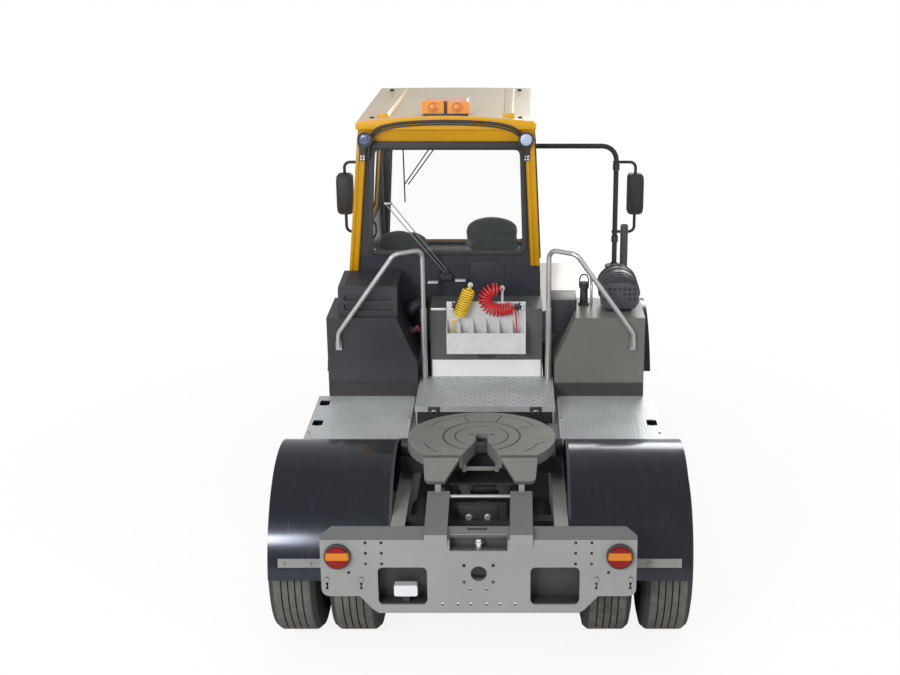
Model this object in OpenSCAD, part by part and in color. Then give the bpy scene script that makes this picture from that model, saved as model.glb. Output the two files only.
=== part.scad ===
// Terminal tractor: a short two-axle tug with a lifting fifth wheel and an offset cab.
// Units are millimetres. Forward is +Y, up is +Z, the ground is Z = 0.

/* [Overall] */
// Length over the tail lamps and the front bumper
overall_len = 5000; // [4900:10:5600]
// Width over the rear tyres
overall_w = 2476; // [2440:2:2600]
// Distance from the rear axle to the front axle
wheelbase = 2950; // [2850:10:3200]
// Distance from the rear-most point to the rear axle
rear_overhang = 850; // [820:10:950]

/* [Frame] */
// Width of the frame over the rails
frame_w = 1000; // [960:10:1020]
// Height of a frame rail
rail_h = 280; // [240:10:300]
// Underside of the rails above the ground
rail_z = 640; // [620:5:680]
// Width of a rail's flanges
rail_flange = 80; // [60:5:100]
// Thickness of the rail's steel
rail_t = 10; // [8:1:14]

/* [Wheels] */
// Outer diameter of every tyre
tyre_d = 1060; // [1000:10:1080]
// Width of a tyre
tyre_w = 296; // [280:2:320]
// Diameter of the rim's bead seat
rim_d = 572; // [540:2:600]
// Distance between the centres of twin tyres
dual_gap = 350; // [340:2:370]
// Distance between the front wheels' centres
front_track = 2040; // [1980:10:2080]
// Distance from a front wheel's centre to its kingpin
kingpin_set = 150; // [130:5:180]

/* [Rear bumper] */
// Width of the rear bumper plate
bumper_w = 1740; // [1680:10:1800]
// Thickness of the rear bumper plate
bumper_t = 16; // [10:1:20]
// Lower edge of the bumper's middle
bumper_z0 = 490; // [470:5:510]
// Upper edge of the bumper's flat face
bumper_z1 = 938; // [930:2:950]
// Height of the outer ears' lower edge above the middle's
ear_rise = 105; // [80:5:140]
// Half width of the bumper's deep middle part
bumper_mid = 585; // [570:5:600]
// Width of the notch in the bumper's top
notch_w = 318; // [280:2:340]
// Depth of the notch below the flat face's upper edge
notch_d = 66; // [50:2:80]
// Width of each service cut-out
cutout_w = 272; // [240:2:290]
// Height of each service cut-out
cutout_h = 228; // [200:2:240]
// Distance of a cut-out's centre from the middle
cutout_x = 421; // [410:1:435]
// Height of the cut-outs' centre
cutout_z = 657; // [650:1:665]
// Diameter of a tail lamp
tail_lamp_d = 138; // [120:2:150]
// Distance of a tail lamp from the middle
tail_lamp_x = 775; // [760:5:785]
// Height of the tail lamps
tail_lamp_z = 842; // [830:2:850]
// Distance that the tail lamps stand behind the bumper
tail_lamp_proud = 30; // [20:1:40]
// Diameter of the towing hole in the bumper
tow_hole_d = 90; // [80:2:100]
// Height of the towing hole
tow_hole_z = 733; // [725:1:745]
// Spacing across of the drawbar bolts
drawbar_dx = 160; // [150:2:170]
// Spacing upwards of the drawbar bolts
drawbar_dz = 100; // [94:2:104]
// Diameter of the drawbar bolt holes
drawbar_hole_d = 21; // [18:1:24]

/* [Pick-up ramps] */
// Width of a ramp
ramp_w = 126; // [110:2:140]
// Distance of a ramp's centre from the middle
ramp_x = 235; // [230:1:245]
// Height of the bend in the ramps
ramp_bend_z = 972; // [965:1:985]
// Length of a ramp's sloping part, measured level
ramp_run = 395; // [380:5:405]
// Slope of the ramps in degrees
ramp_slope = 12; // [8:1:13]

/* [Fifth wheel] */
// Top of the fifth wheel when lowered
fifth_z = 1200; // [1190:5:1220]
// Width of the fifth wheel
fifth_w = 884; // [870:2:900]
// Distance of the kingpin's centre ahead of the rear axle
fifth_set = 45; // [30:5:70]
// Diameter of the kingpin seat
kingpin_seat_d = 51; // [50:0.5:52]
// Height of the fifth wheel's pivot
fifth_pivot_z = 1105; // [1100:1:1110]
// Distance of the fifth wheel's pivot ahead of the rear axle
fifth_pivot_set = 130; // [120:5:150]
// Diameter of the fifth wheel's pivot pins
fifth_pin_d = 50; // [44:1:56]

/* [Lift boom] */
// Distance of the boom's hinge ahead of the rear axle
boom_set = 1130; // [1110:5:1150]
// Height of the boom's hinge
boom_z = 720; // [715:1:740]
// Depth of a boom arm
boom_h = 120; // [100:5:130]
// Thickness of a boom arm
boom_t = 70; // [60:5:80]
// Distance of a boom arm's centre from the middle
boom_x = 225; // [215:5:235]
// Bore of the lift cylinders' barrels
lift_bore = 80; // [70:5:90]
// Diameter of the lift cylinders' rods
lift_rod_d = 50; // [40:2:56]

/* [Mudguards and decks] */
// Radius of the rear mudguards
guard_r = 620; // [605:5:640]
// Width of a rear mudguard
guard_w = 685; // [675:5:700]
// Thickness of every mudguard
guard_t = 6; // [4:1:10]
// Height of the rear mudguards' rear edge
guard_rear_z = 583; // [575:5:600]
// Top of the tread plates
deck_z = 956; // [950:2:965]
// Inner edge of a tread plate from the middle
deck_in = 490; // [485:1:500]
// Outer edge of a tread plate from the middle
deck_out = 1160; // [1150:5:1180]
// Thickness of the tread plates
deck_t = 6; // [4:1:8]
// Top of the perforated platform
platform_z = 1046; // [1040:2:1060]
// Half width of the perforated platform
platform_half = 466; // [460:1:470]
// Length of the perforated platform
platform_len = 594; // [560:2:600]
// Height of the kick plate behind the platform
riser_h = 121; // [100:1:130]

/* [Cabinets] */
// Distance from the rear axle to the cab's rear wall
cab_back = 1880; // [1860:5:1920]
// Depth of the side cabinets
cabinet_depth = 490; // [460:5:500]
// Top of the side cabinets
cabinet_z = 1524; // [1500:2:1550]
// Outer face of the side cabinets from the middle
cabinet_out = 1090; // [1070:5:1110]
// Inner face of the side cabinets from the middle
cabinet_in = 474; // [470:1:480]
// Half width of the centre panel
panel_half = 390; // [380:1:395]
// Depth of the centre panel's box
panel_depth = 325; // [300:5:340]
// Top of the centre panel's box
panel_z = 1540; // [1520:5:1560]

/* [Cab] */
// Length of the cab at its base
cab_len = 2080; // [2000:10:2120]
// Left side of the cab from the middle
cab_left = 980; // [960:5:1000]
// Right side of the cab from the middle
cab_right = 380; // [370:5:390]
// Underside of the cab's floor
cab_z0 = 1185; // [1180:5:1200]
// Height where the cab's sides begin to lean
cab_waist_z = 1700; // [1680:5:1720]
// Height of the cab's walls
cab_top_z = 2735; // [2700:5:2760]
// Lean of the left side from waist to top
lean_left = 95; // [80:5:110]
// Lean of the right side from waist to top
lean_right = 48; // [40:2:60]
// Rake of the windscreen from waist to top
rake = 190; // [160:5:220]
// Thickness of the cab's walls
wall_t = 50; // [40:2:56]
// Thickness of the roof at its rim
roof_t = 60; // [50:2:70]
// Thickness of every window pane
glass_t = 6; // [4:1:8]
// Play round every window pane
glass_play = 0.3; // [0.2:0.1:0.5]
// Width of the cab's door
door_w = 760; // [720:5:800]
// Distance from the cab's rear wall to the door
door_set = 120; // [110:5:140]
// Gap round the door
door_gap = 8; // [6:1:10]
// Gap at the door's latch edge, where the leaf sweeps
latch_gap = 15; // [14:1:18]

/* [Fittings] */
// Diameter of the handrails
handrail_d = 34; // [30:1:38]
// Top of the handrails
handrail_z = 1977; // [1950:5:2000]
// Diameter of the mirror hoop
hoop_d = 40; // [36:1:44]
// Diameter of the exhaust pipe
exhaust_d = 56; // [50:2:64]
// Top of the exhaust pipe
exhaust_z = 1984; // [1950:5:2010]
// Diameter of the air cleaner
cleaner_d = 290; // [270:5:300]
// Running clearance at pins and bearings
pin_play = 0.3; // [0.2:0.1:0.5]

/* [Hidden] */
$fn = 48;
// A little more than a wall, for cuts that pass through
eps = 1;
big = 4000;

rear_y = -overall_len / 2;
front_y = overall_len / 2;
bumper_y = rear_y + tail_lamp_proud;
rear_axle_y = rear_y + rear_overhang;
front_axle_y = rear_axle_y + wheelbase;
axle_z = tyre_d / 2;
rail_x = frame_w / 2;
rail_top = rail_z + rail_h;
pocket_d = 96;
rail_y0 = bumper_y + bumper_t + pocket_d;
rear_x = overall_w / 2 - tyre_w / 2 - dual_gap / 2;
front_x = front_track / 2;
kingpin_x = front_x - kingpin_set;
cab_y0 = rear_axle_y + cab_back;
cab_y1 = cab_y0 + cab_len;
cabinet_y0 = cab_y0 - cabinet_depth - 10;
panel_y0 = cab_y0 - panel_depth - 10;
platform_y1 = panel_y0 - 8;
platform_y0 = platform_y1 - platform_len;
kingpin_y = rear_axle_y + fifth_set;
fifth_pivot_y = rear_axle_y + fifth_pivot_set;
boom_y = rear_axle_y + boom_set;
door_y0 = cab_y0 + door_set;
door_y1 = door_y0 + door_w;
deck_skirt = 46;
deck_y0 = rear_axle_y + sqrt(pow(guard_r, 2) - pow(deck_z - deck_skirt - axle_z, 2)) + 10;
deck_y1 = cabinet_y0;
bracket_z = deck_z - deck_t;

// Vector helpers for pipes
function unit(v) = v / norm(v);
function across(d) = abs(d.z) < 0.9 ? unit(cross(d, [0, 0, 1])) : unit(cross(d, [1, 0, 0]));
function turn(a, b) = acos(max(-1, min(1, unit(a) * unit(b))));
function frame_of(x, y, z, o) = [
  [x.x, y.x, z.x, o.x], [x.y, y.y, z.y, o.y], [x.z, y.z, z.z, o.z], [0, 0, 0, 1]];

// Points of a rectangle with round corners, centred
function round_rect(w, h, r, n = 5) = [
  for (c = [[1, 1, 0], [-1, 1, 90], [-1, -1, 180], [1, -1, 270]])
    for (i = [0:n])
      [c[0] * (w / 2 - r) + r * cos(c[2] + 90 * i / n),
       c[1] * (h / 2 - r) + r * sin(c[2] + 90 * i / n)]];

// A round bar from one point to another
module bar(a, b, d) {
  z = unit(b - a);
  x = across(z);
  multmatrix(frame_of(x, cross(z, x), z, a)) cylinder(d = d, h = norm(b - a));
}

// A path through points with its corners rounded to one radius, n steps to a corner
function rounded(pts, r, n = 5) = concat([pts[0]], [
  for (i = [1:len(pts) - 2])
    let (u = unit(pts[i] - pts[i - 1]), v = unit(pts[i + 1] - pts[i]), a = turn(u, v),
      side = unit(v - u * (u * v)), start = pts[i] - u * r * tan(a / 2))
      for (k = [0:n]) start + u * r * sin(a * k / n) + side * r * (1 - cos(a * k / n))
  ], [pts[len(pts) - 1]]);

// Directions along a path, and a side vector at each point that turns as little as it can
function headings(pts) = [for (i = [0:len(pts) - 1])
  unit(pts[min(i + 1, len(pts) - 1)] - pts[max(i - 1, 0)])];
function sides_of(t, i = 0, x = undef) = i == len(t) ? []
  : let (g = is_undef(x) ? across(t[0]) : unit(x - t[i] * (x * t[i]))) concat([g], sides_of(t, i + 1, g));

// A tube swept through points, with its own radius at each point
module sweep(pts, radii, sides = 10) {
  n = len(pts);
  t = headings(pts);
  x = sides_of(t);
  rings = [for (i = [0:n - 1]) for (k = [0:sides - 1])
    let (a = 360 * k / sides) pts[i] + radii[i] * (x[i] * cos(a) + cross(t[i], x[i]) * sin(a))];
  walls = [for (i = [0:n - 2]) for (k = [0:sides - 1])
    let (a = i * sides + k, b = i * sides + (k + 1) % sides)
      each [[a, a + sides, b], [b, a + sides, b + sides]]];
  caps = [[for (k = [0:sides - 1]) k], [for (k = [sides - 1:-1:0]) (n - 1) * sides + k]];
  polyhedron(rings, concat(walls, caps));
}

// A bent pipe through points, with round bends of one radius
module pipe(pts, d, bend_r, sides = 12) {
  path = rounded(pts, bend_r);
  sweep(path, [for (p = path) d / 2], sides);
}

// A bar with a square section along X
module block(x0, x1, y0, y1, z0, z1) {
  translate([x0, y0, z0]) cube([x1 - x0, y1 - y0, z1 - z0]);
}

// The same shape on the left and on the right
module both() {
  children();
  mirror([1, 0, 0]) children();
}

// An outline in X and Z, made solid from y0 to y1
module slab(y0, y1) {
  translate([0, y1, 0]) rotate([90, 0, 0]) linear_extrude(y1 - y0) children();
}

// An outline in Y and Z, made solid from x0 to x1
module plate(x0, x1) {
  translate([x0, 0, 0]) rotate([90, 0, 90]) linear_extrude(x1 - x0) children();
}

// A cylinder along X
module pin(x0, x1, y, z, d) {
  translate([x0, y, z]) rotate([0, 90, 0]) cylinder(d = d, h = x1 - x0);
}

// Frame

front_bumper_t = 180;
rail_y1 = front_y - front_bumper_t;
lift_y = boom_y - 390;
lift_z = 540;
lift_pin_d = 40;
eye_run = 650;
head_z = 1008;
boom_slope = (head_z - boom_z) / (boom_y - fifth_pivot_y);
eye_y = boom_y - eye_run;
eye_z = boom_z + eye_run * boom_slope;
lift_x = 125;
boom_shaft_d = 60;
rear_beam_y = rear_axle_y - 460;
rear_beam_z = 900;
beam_ys = [cab_y0 + 60, cab_y1 - 310];

module frame_rails() {
  color("dimgray") both() slab(rail_y0, rail_y1) polygon([
    [rail_x, rail_z], [rail_x, rail_top], [rail_x - rail_flange, rail_top],
    [rail_x - rail_flange, rail_top - rail_t], [rail_x - rail_t, rail_top - rail_t],
    [rail_x - rail_t, rail_z + rail_t], [rail_x - rail_flange, rail_z + rail_t],
    [rail_x - rail_flange, rail_z]]);
}

// Beams between the rails, the boom's shaft and the hangers of the lift cylinders
module crossmembers() {
  web = rail_x - rail_t;
  beam = 80;
  hanger_t = 25;
  hanger_x = lift_x + lift_bore / 2 + lift_wall + 5;
  color("dimgray") {
    block(-web, web, rear_beam_y - beam / 2, rear_beam_y + beam / 2, rear_beam_z - 130, rear_beam_z);
    block(-150, 150, rear_beam_y - 10, rear_beam_y + beam / 2, rear_beam_z - eps, rear_beam_z + 80);
    both() translate([rail_x - 160, rear_beam_y + beam / 2 - eps, rear_beam_z - 100]) rotate([-90, 0, 0])
      cylinder(d = 150, h = 300);
    both() slab(platform_y0 + 12, platform_y0 + 22) polygon([[-eps, rail_top + 40], [rail_x - 140, rail_top + 40],
      [rail_x - 100, rail_top], [rail_x - 50 - eps, rail_top], [rail_x - 50 - eps, platform_z - 42],
      [-eps, platform_z - 42]]);
    for (y = beam_ys)
      block(-web, web, y - beam / 2, y + beam / 2, rail_z + 60, rail_top - 60);
    pin(-web, web, boom_y, boom_z, boom_shaft_d);
    block(-web, web, lift_y + 90, lift_y + 90 + beam, rail_z + 12, rail_z + 66);
    pin(-hanger_x - hanger_t, hanger_x + hanger_t, lift_y, lift_z, lift_pin_d);
    both() plate(hanger_x, hanger_x + hanger_t) polygon([
      [lift_y - 42, lift_z - 42], [lift_y + 42, lift_z - 42], [lift_y + 90 + beam, rail_z + 12],
      [lift_y + 90 + beam, rail_z + 66], [lift_y + 90, rail_z + 66], [lift_y - 42, lift_z + 42]]);
  }
}

// Rear bumper, lamps and ramps

ear_slope = 75;
flange_run = 88;
flange_rise = 41;
// Columns: half spacing across, height, of the holes drilled through the bumper
bumper_holes = [[44, 639], [44, 546], [116, 546], [202, 546], [533, 793], [533, 857], [533, 920],
  [621, 793], [621, 857], [621, 920], [716, 740]];
bumper_hole_d = 18;
// Keyholes, each below a round stud
key_x = [650, 838];
key_z = 658;

module bumper_outline() {
  half = bumper_w / 2;
  ear_z = bumper_z0 + ear_rise;
  round_r = 45;
  difference() {
    union() {
      polygon([[-half, ear_z + round_r], [-half + round_r, ear_z], [-bumper_mid - ear_slope, ear_z],
        [-bumper_mid, bumper_z0 + 20], [-bumper_mid + 30, bumper_z0], [bumper_mid - 30, bumper_z0],
        [bumper_mid, bumper_z0 + 20], [bumper_mid + ear_slope, ear_z], [half - round_r, ear_z],
        [half, ear_z + round_r], [half, bumper_z1], [-half, bumper_z1]]);
      for (s = [-1, 1]) translate([s * (half - round_r), ear_z + round_r]) circle(r = round_r);
    }
    translate([-notch_w / 2, bumper_z1 - notch_d]) square([notch_w, notch_d + eps]);
    for (s = [-1, 1]) {
      translate([s * cutout_x, cutout_z]) polygon(round_rect(cutout_w, cutout_h, 28));
      for (h = bumper_holes) translate([s * h[0], h[1]]) circle(d = bumper_hole_d);
      for (x = key_x) translate([s * x, key_z]) {
        for (z = [-14, 14]) translate([0, z]) circle(d = 17, $fn = 24);
        translate([-4, -14]) square([8, 28]);
      }
      for (t = [-1, 1])
        translate([s * drawbar_dx / 2, tow_hole_z + t * drawbar_dz / 2]) circle(d = drawbar_hole_d);
    }
    translate([0, tow_hole_z]) circle(d = tow_hole_d);
  }
}

// Sheet box behind an opening of the bumper, open to the rear
module pocket(x, z, w, h, depth) {
  sheet = 6;
  y = bumper_y + bumper_t;
  difference() {
    block(x - w / 2 - sheet, x + w / 2 + sheet, y - eps, y + depth, z - h / 2 - sheet, z + h / 2 + sheet);
    block(x - w / 2, x + w / 2, y - 2 * eps, y + depth - sheet, z - h / 2, z + h / 2);
  }
}

// Flat plate with a folded top flange, studs, pockets and a pin in the notch
module rear_bumper() {
  stud_z = key_z + 42;
  shelf_z = bumper_z1 - notch_d;
  notch_back = bumper_y + flange_run - 4;
  fold = [[bumper_y, bumper_z1], [bumper_y + bumper_t, bumper_z1 - bumper_t],
    [bumper_y + flange_run, bumper_z1 + flange_rise - bumper_t],
    [bumper_y + flange_run, bumper_z1 + flange_rise]];
  color("darkgray") {
    slab(bumper_y, bumper_y + bumper_t) bumper_outline();
    difference() {
      plate(-bumper_w / 2, bumper_w / 2) polygon(fold);
      block(-notch_w / 2, notch_w / 2, bumper_y - eps, bumper_y + flange_run * 0.42,
        bumper_z1 - bumper_t - eps, bumper_z1 + flange_run);
      both() translate([bumper_w / 2, bumper_y + flange_run, 0]) rotate([0, 0, 45])
        translate([-40, -40, bumper_z1 - 30]) cube([80, 80, 100]);
    }
    both() pocket(cutout_x, cutout_z, cutout_w, cutout_h, pocket_d);
    block(-notch_w / 2, notch_w / 2, bumper_y + bumper_t - eps, notch_back, shelf_z - 8, shelf_z);
    block(-notch_w / 2, notch_w / 2, notch_back - 8, notch_back, shelf_z - 8, bumper_z1 + 16);
    translate([0, bumper_y + 42, shelf_z - eps]) cylinder(d = 34, h = notch_d - 14);
    both() for (x = key_x) translate([x, bumper_y + eps, stud_z]) rotate([90, 0, 0])
      cylinder(d1 = 30, d2 = 24, h = 10, $fn = 32);
  }
}

// Bent ramp plates on upright webs
module pickup_ramps() {
  ramp_t = 10;
  lip_z = 902;
  y0 = bumper_y - ramp_t;
  y1 = y0 + ramp_run;
  rise = ramp_run * tan(ramp_slope);
  web_w = 32;
  web_y1 = rear_axle_y - 140;
  web_z1 = 985;
  under = ramp_bend_z - ramp_t + 3;
  color("darkgray") both() {
    plate(ramp_x - ramp_w / 2, ramp_x + ramp_w / 2) polygon([
      [y0, lip_z], [y0, ramp_bend_z], [y1, ramp_bend_z + rise], [y1, ramp_bend_z + rise - ramp_t],
      [y0 + ramp_t, ramp_bend_z - ramp_t], [y0 + ramp_t, lip_z]]);
    plate(ramp_x - web_w / 2, ramp_x + web_w / 2) polygon([
      [bumper_y + flange_run + 2, rear_beam_z], [web_y1, rear_beam_z], [web_y1, web_z1 - 40], [y1, web_z1],
      [y1, under + rise],
      [bumper_y + flange_run + 2, under + (flange_run + 2) * tan(ramp_slope)]]);
  }
}

// Two round tail lamps and a small work lamp in the left cut-out
module rear_lamps() {
  rim = 8;
  work_w = 130;
  work_h = 66;
  work_x = 15 - cutout_x;
  work_z = cutout_z - 37;
  pocket_floor = cutout_z - cutout_h / 2;
  color("firebrick") {
    both() translate([tail_lamp_x, bumper_y, tail_lamp_z]) rotate([90, 0, 0]) {
      cylinder(d = tail_lamp_d, h = tail_lamp_proud - rim);
      cylinder(d = tail_lamp_d - 2 * rim, h = tail_lamp_proud);
    }
  }
  color("white") {
    slab(bumper_y + 12, bumper_y + 62) translate([work_x, work_z]) polygon(round_rect(work_w, work_h, 12));
    block(work_x - 20, work_x + 20, bumper_y + 24, bumper_y + 50, pocket_floor + pin_play, work_z);
  }
}

// Mudguards, decks and what hangs on the frame's sides

// Half-round shell about an axle, from one angle to another above the rear horizon
module guard_shell(x0, x1, y, r, a0, a1) {
  translate([x0, y, axle_z]) rotate([0, 90, 0]) rotate([0, 0, 270 - a1])
    rotate_extrude(angle = a1 - a0, $fn = 96) translate([r - guard_t, 0]) square([guard_t, x1 - x0]);
}

guard_rear_a = asin((guard_rear_z - axle_z) / guard_r);
guard_out = overall_w / 2 - 33;
guard_in = guard_out - guard_w;

module rear_mudguards() {
  color("black") both()
    guard_shell(guard_in, guard_out, rear_axle_y, guard_r, guard_rear_a, 180 - guard_rear_a);
}

// A flat bar along X, lying on a mudguard at an angle above the rear horizon
module guard_bar(x0, x1, y, r, a) {
  bar_w = 50;
  bar_t = 8;
  translate([0, y, axle_z]) rotate([-a, 0, 0])
    block(x0, x1, -r - pin_play - bar_t, -r - pin_play, -bar_w / 2, bar_w / 2);
}

front_guard_r = 646;
front_guard_in = front_x - 230;
front_guard_out = front_x + 215;
front_guard_a = 24;

// Mudguard bars and the gussets that carry decks and cabinets, all on the rails' webs
module side_brackets() {
  gusset_t = 12;
  gusset_out = deck_out - 60;
  color("gray") both() {
    for (a = [14.5, 180 - 34]) guard_bar(rail_x, guard_out - 60, rear_axle_y, guard_r, a);
    for (a = [front_guard_a + 3, 177 - front_guard_a])
      guard_bar(rail_x, front_guard_out - 50, front_axle_y, front_guard_r, a);
    for (y = [rear_axle_y + guard_r + 40, (deck_y0 + deck_y1) / 2 + 60, deck_y1 - 40, cab_y0 - 80])
      slab(y - gusset_t / 2, y + gusset_t / 2) polygon([
        [rail_x, bracket_z], [rail_x, rail_z + 40], [rail_x + 60, rail_z + 40],
        [gusset_out, bracket_z - 50], [gusset_out, bracket_z]]);
  }
}

module front_mudguards() {
  color("black") both() guard_shell(front_guard_in, front_guard_out, front_axle_y, front_guard_r,
    front_guard_a, 180 - front_guard_a);
}

// Outline of a hand-hole, round with straight sides
module hand_hole() {
  intersection() {
    circle(d = 112);
    square([68, 120], center = true);
  }
}

// A tread plate on the right with a folded edge, and a cup under each hand-hole by its outer edge
module deck_plate(hole_ys) {
  x = deck_out - 55;
  cup = 46;
  difference() {
    union() {
      block(deck_in, deck_out, deck_y0, deck_y1, deck_z - deck_t, deck_z);
      block(deck_out - deck_t, deck_out, deck_y0, deck_y1, deck_z - deck_skirt, deck_z);
      for (y = hole_ys) block(x - 40, x + 40, y - 64, y + 64, deck_z - cup, deck_z - eps);
    }
    for (y = hole_ys) translate([x, y, deck_z - cup + 4]) linear_extrude(cup) hand_hole();
  }
}

module deck_plates() {
  color("silver") {
    mirror([1, 0, 0]) deck_plate([deck_y1 - 130, deck_y1 - 500]);
    deck_plate([deck_y1 - 500]);
  }
}

tank_y0 = deck_y0 + 190;
tank_y1 = cab_y0 - 40;
tank_z0 = 400;
tank_z1 = 700;
tank_gap = 130;
battery_len = 640;
strap_h = 30;

// Rounded boxes hung on the rails' webs
module side_box(x0, x1, y0, y1, z0, z1, r) {
  slab(y0, y1) translate([(x0 + x1) / 2, (z0 + z1) / 2]) polygon(round_rect(x1 - x0, z1 - z0, r));
}

// A strap from a rail's web to a side box, on the right
module strap(y) {
  block(rail_x, rail_x + tank_gap + 10, y, y + 60, rail_z + 5, rail_z + 5 + strap_h);
}

module fuel_tank() {
  cap_x = cabinet_out - 130;
  color("gray") {
    side_box(-cabinet_out, -rail_x - tank_gap, tank_y0, tank_y1, tank_z0, tank_z1, 70);
    mirror([1, 0, 0]) for (y = [tank_y0 + 90, tank_y1 - 150]) strap(y);
    translate([-cap_x, tank_y0 + 200, tank_z1 - 10]) cylinder(d = 110, h = 50);
  }
}

module battery_box() {
  color("dimgray") {
    side_box(rail_x + tank_gap, cabinet_out, tank_y0, tank_y0 + battery_len, tank_z0 + 20, tank_z1, 25);
    for (y = [tank_y0 + 90, tank_y0 + battery_len - 160]) strap(y);
  }
}

// Perforated sheet on two side webs that stand on the rails
module platform() {
  sheet = 5;
  web_t = 10;
  slot = [26, 12];
  pitch_x = 66;
  pitch_y = 36;
  cols = floor((platform_half - 40) / pitch_x);
  rows = floor((platform_len - 50) / pitch_y);
  color("silver") difference() {
    union() {
      block(-platform_half, platform_half, platform_y0, platform_y1, platform_z - sheet, platform_z);
      block(-platform_half, platform_half, platform_y0, platform_y0 + sheet, platform_z - 40, platform_z);
      both() block(rail_x - 40 - web_t, rail_x - 40, platform_y0, platform_y1, rail_top, platform_z);
    }
    for (j = [0:rows - 1]) for (i = [-cols:cols])
      translate([(i + (j % 2) / 2 - 0.25) * pitch_x, platform_y0 + 34 + j * pitch_y, platform_z - sheet - eps])
        cube([slot.x, slot.y, sheet + 2 * eps]);
  }
}

module kick_plate() {
  color("whitesmoke") block(-panel_half + 10, panel_half - 10, platform_y1, panel_y0, platform_z,
    platform_z + riser_h);
}

// Box behind the cab with a slot under the hose tray
module centre_panel() {
  color("dimgray") difference() {
    block(-panel_half, panel_half, panel_y0, cab_y0 - 10, rail_top, panel_z);
    block(-60, 55, panel_y0 - eps, panel_y0 + 12, platform_z + riser_h + 12, platform_z + riser_h + 48);
  }
}

tray_half = 274;
tray_z0 = 1239;
tray_lip_z = 1390;
tray_z1 = 1592;
tray_depth = 92;
tray_sheet = 4;

// Sheet-metal tray with dividers, a star knob at each end of its upper band, and the hoses' ports on posts
module hose_tray() {
  sheet = tray_sheet;
  y0 = panel_y0 - tray_depth;
  knob_x = 236;
  knob_z = 1556;
  post_w = 16;
  port_d = 34;
  color("lightgray") {
    block(-tray_half, tray_half, panel_y0 - sheet, panel_y0, tray_z0, tray_z1);
    block(-tray_half, tray_half, y0, y0 + sheet, tray_z0, tray_lip_z);
    block(-tray_half, tray_half, y0, panel_y0, tray_z0, tray_z0 + sheet);
    for (i = [0:6]) {
      x = -tray_half + i * (2 * tray_half - sheet) / 6;
      plate(x, x + sheet) polygon([[y0, tray_z0], [panel_y0, tray_z0], [panel_y0, tray_lip_z + 84],
        [y0, tray_lip_z]]);
    }
  }
  color("black") for (s = [-1, 1]) translate([s * knob_x, panel_y0 - sheet, knob_z]) rotate([90, 0, 0]) {
    cylinder(d = 44, h = 26);
    for (a = [0:45:315]) rotate([0, 0, a]) translate([0, -5, 8]) cube([34, 10, 12]);
  }
  color("silver") for (p = [yellow_route[0], red_route[0]]) {
    block(p.x - post_w / 2, p.x + post_w / 2, panel_y0, panel_y0 + 8, panel_z, p.z + 12);
    translate([p.x, panel_y0 + 8, p.z]) rotate([90, 0, 0])
      cylinder(d = port_d, h = panel_y0 + 8 - p.y - pin_play);
  }
}

// Routes of the air hoses from the panel's back to the tray, with the coil's radius, then the hose's
hose_coil_r = 44;
hose_tail_r = 6;
hose_y = panel_y0 - 60;
hose_end_z = tray_z0 + tray_sheet + pin_play;
yellow_route = [[-108, hose_y + 40, 1712], [-108, hose_y + 24, 1712], [-112, hose_y + 4, 1700],
  [-144, hose_y, 1612], [-186, hose_y, 1500], [-196, hose_y, 1478], [-232, hose_y + 6, 1470],
  [-234, hose_y + 10, 1400], [-234, hose_y + 10, hose_end_z]];
red_route = [[112, hose_y + 40, 1690], [112, hose_y + 24, 1690], [92, hose_y + 4, 1692], [34, hose_y, 1690],
  [-6, hose_y, 1640], [7, hose_y, 1581], [59, hose_y, 1548], [126, hose_y, 1552], [190, hose_y, 1560],
  [204, hose_y, 1530], [212, hose_y + 10, 1400], [212, hose_y + 10, hose_end_z]];

module yellow_hose() {
  c = hose_coil_r;
  t = hose_tail_r;
  color("gold") sweep(yellow_route, [t, t, c, c, c, t, t, t, t]);
}

module red_hose() {
  c = hose_coil_r;
  t = hose_tail_r;
  color("red") sweep(red_route, [t, t, c, c, c, c, c, c, c, t, t, t]);
}

// Bent tubes from the platform over to the cabinets' rear faces
module handrails() {
  post_x = (panel_half + cabinet_in) / 2;
  post_y = panel_y0 - 62;
  foot_y = cabinet_y0 - handrail_d / 2 - 2;
  sleeve_z = 1560;
  foot_x = cabinet_out - 81;
  foot_z = cabinet_z - 224;
  color("silver") both() {
    pipe([[post_x, post_y, platform_z], [post_x, post_y, handrail_z],
      [post_x + 182, foot_y, handrail_z], [foot_x, foot_y, foot_z + 120], [foot_x, foot_y, foot_z + 22]],
      handrail_d, 60);
    translate([post_x, post_y, platform_z]) cylinder(d = handrail_d + 10, h = sleeve_z - platform_z);
    block(foot_x - 20, foot_x + 20, cabinet_y0 - 22, cabinet_y0, foot_z, foot_z + 60);
  }
}

// Side cabinets

slope_run = 138;
slope_z = 1195;

// Inner side of a cabinet at a height
function slope_at(z) = cabinet_in + slope_run * max(0, z - slope_z) / (cabinet_z - slope_z);

module cabinet_outline() {
  polygon([[cabinet_in, bracket_z], [cabinet_out, bracket_z], [cabinet_out, cabinet_z],
    [slope_at(cabinet_z), cabinet_z], [cabinet_in, slope_z]]);
}

// A cabinet with a groove above its lower strip
module cabinet() {
  groove = 5;
  strip_z = 1056;
  difference() {
    slab(cabinet_y0, cab_y0 - 10) cabinet_outline();
    block(0, cabinet_out + eps, cabinet_y0 - eps, cabinet_y0 + groove, strip_z, strip_z + groove);
  }
}

module left_cabinet() {
  color("dimgray") mirror([1, 0, 0]) cabinet();
}

module right_cabinet() {
  color("darkgray") cabinet();
}

cover_z1 = 1725;

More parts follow.
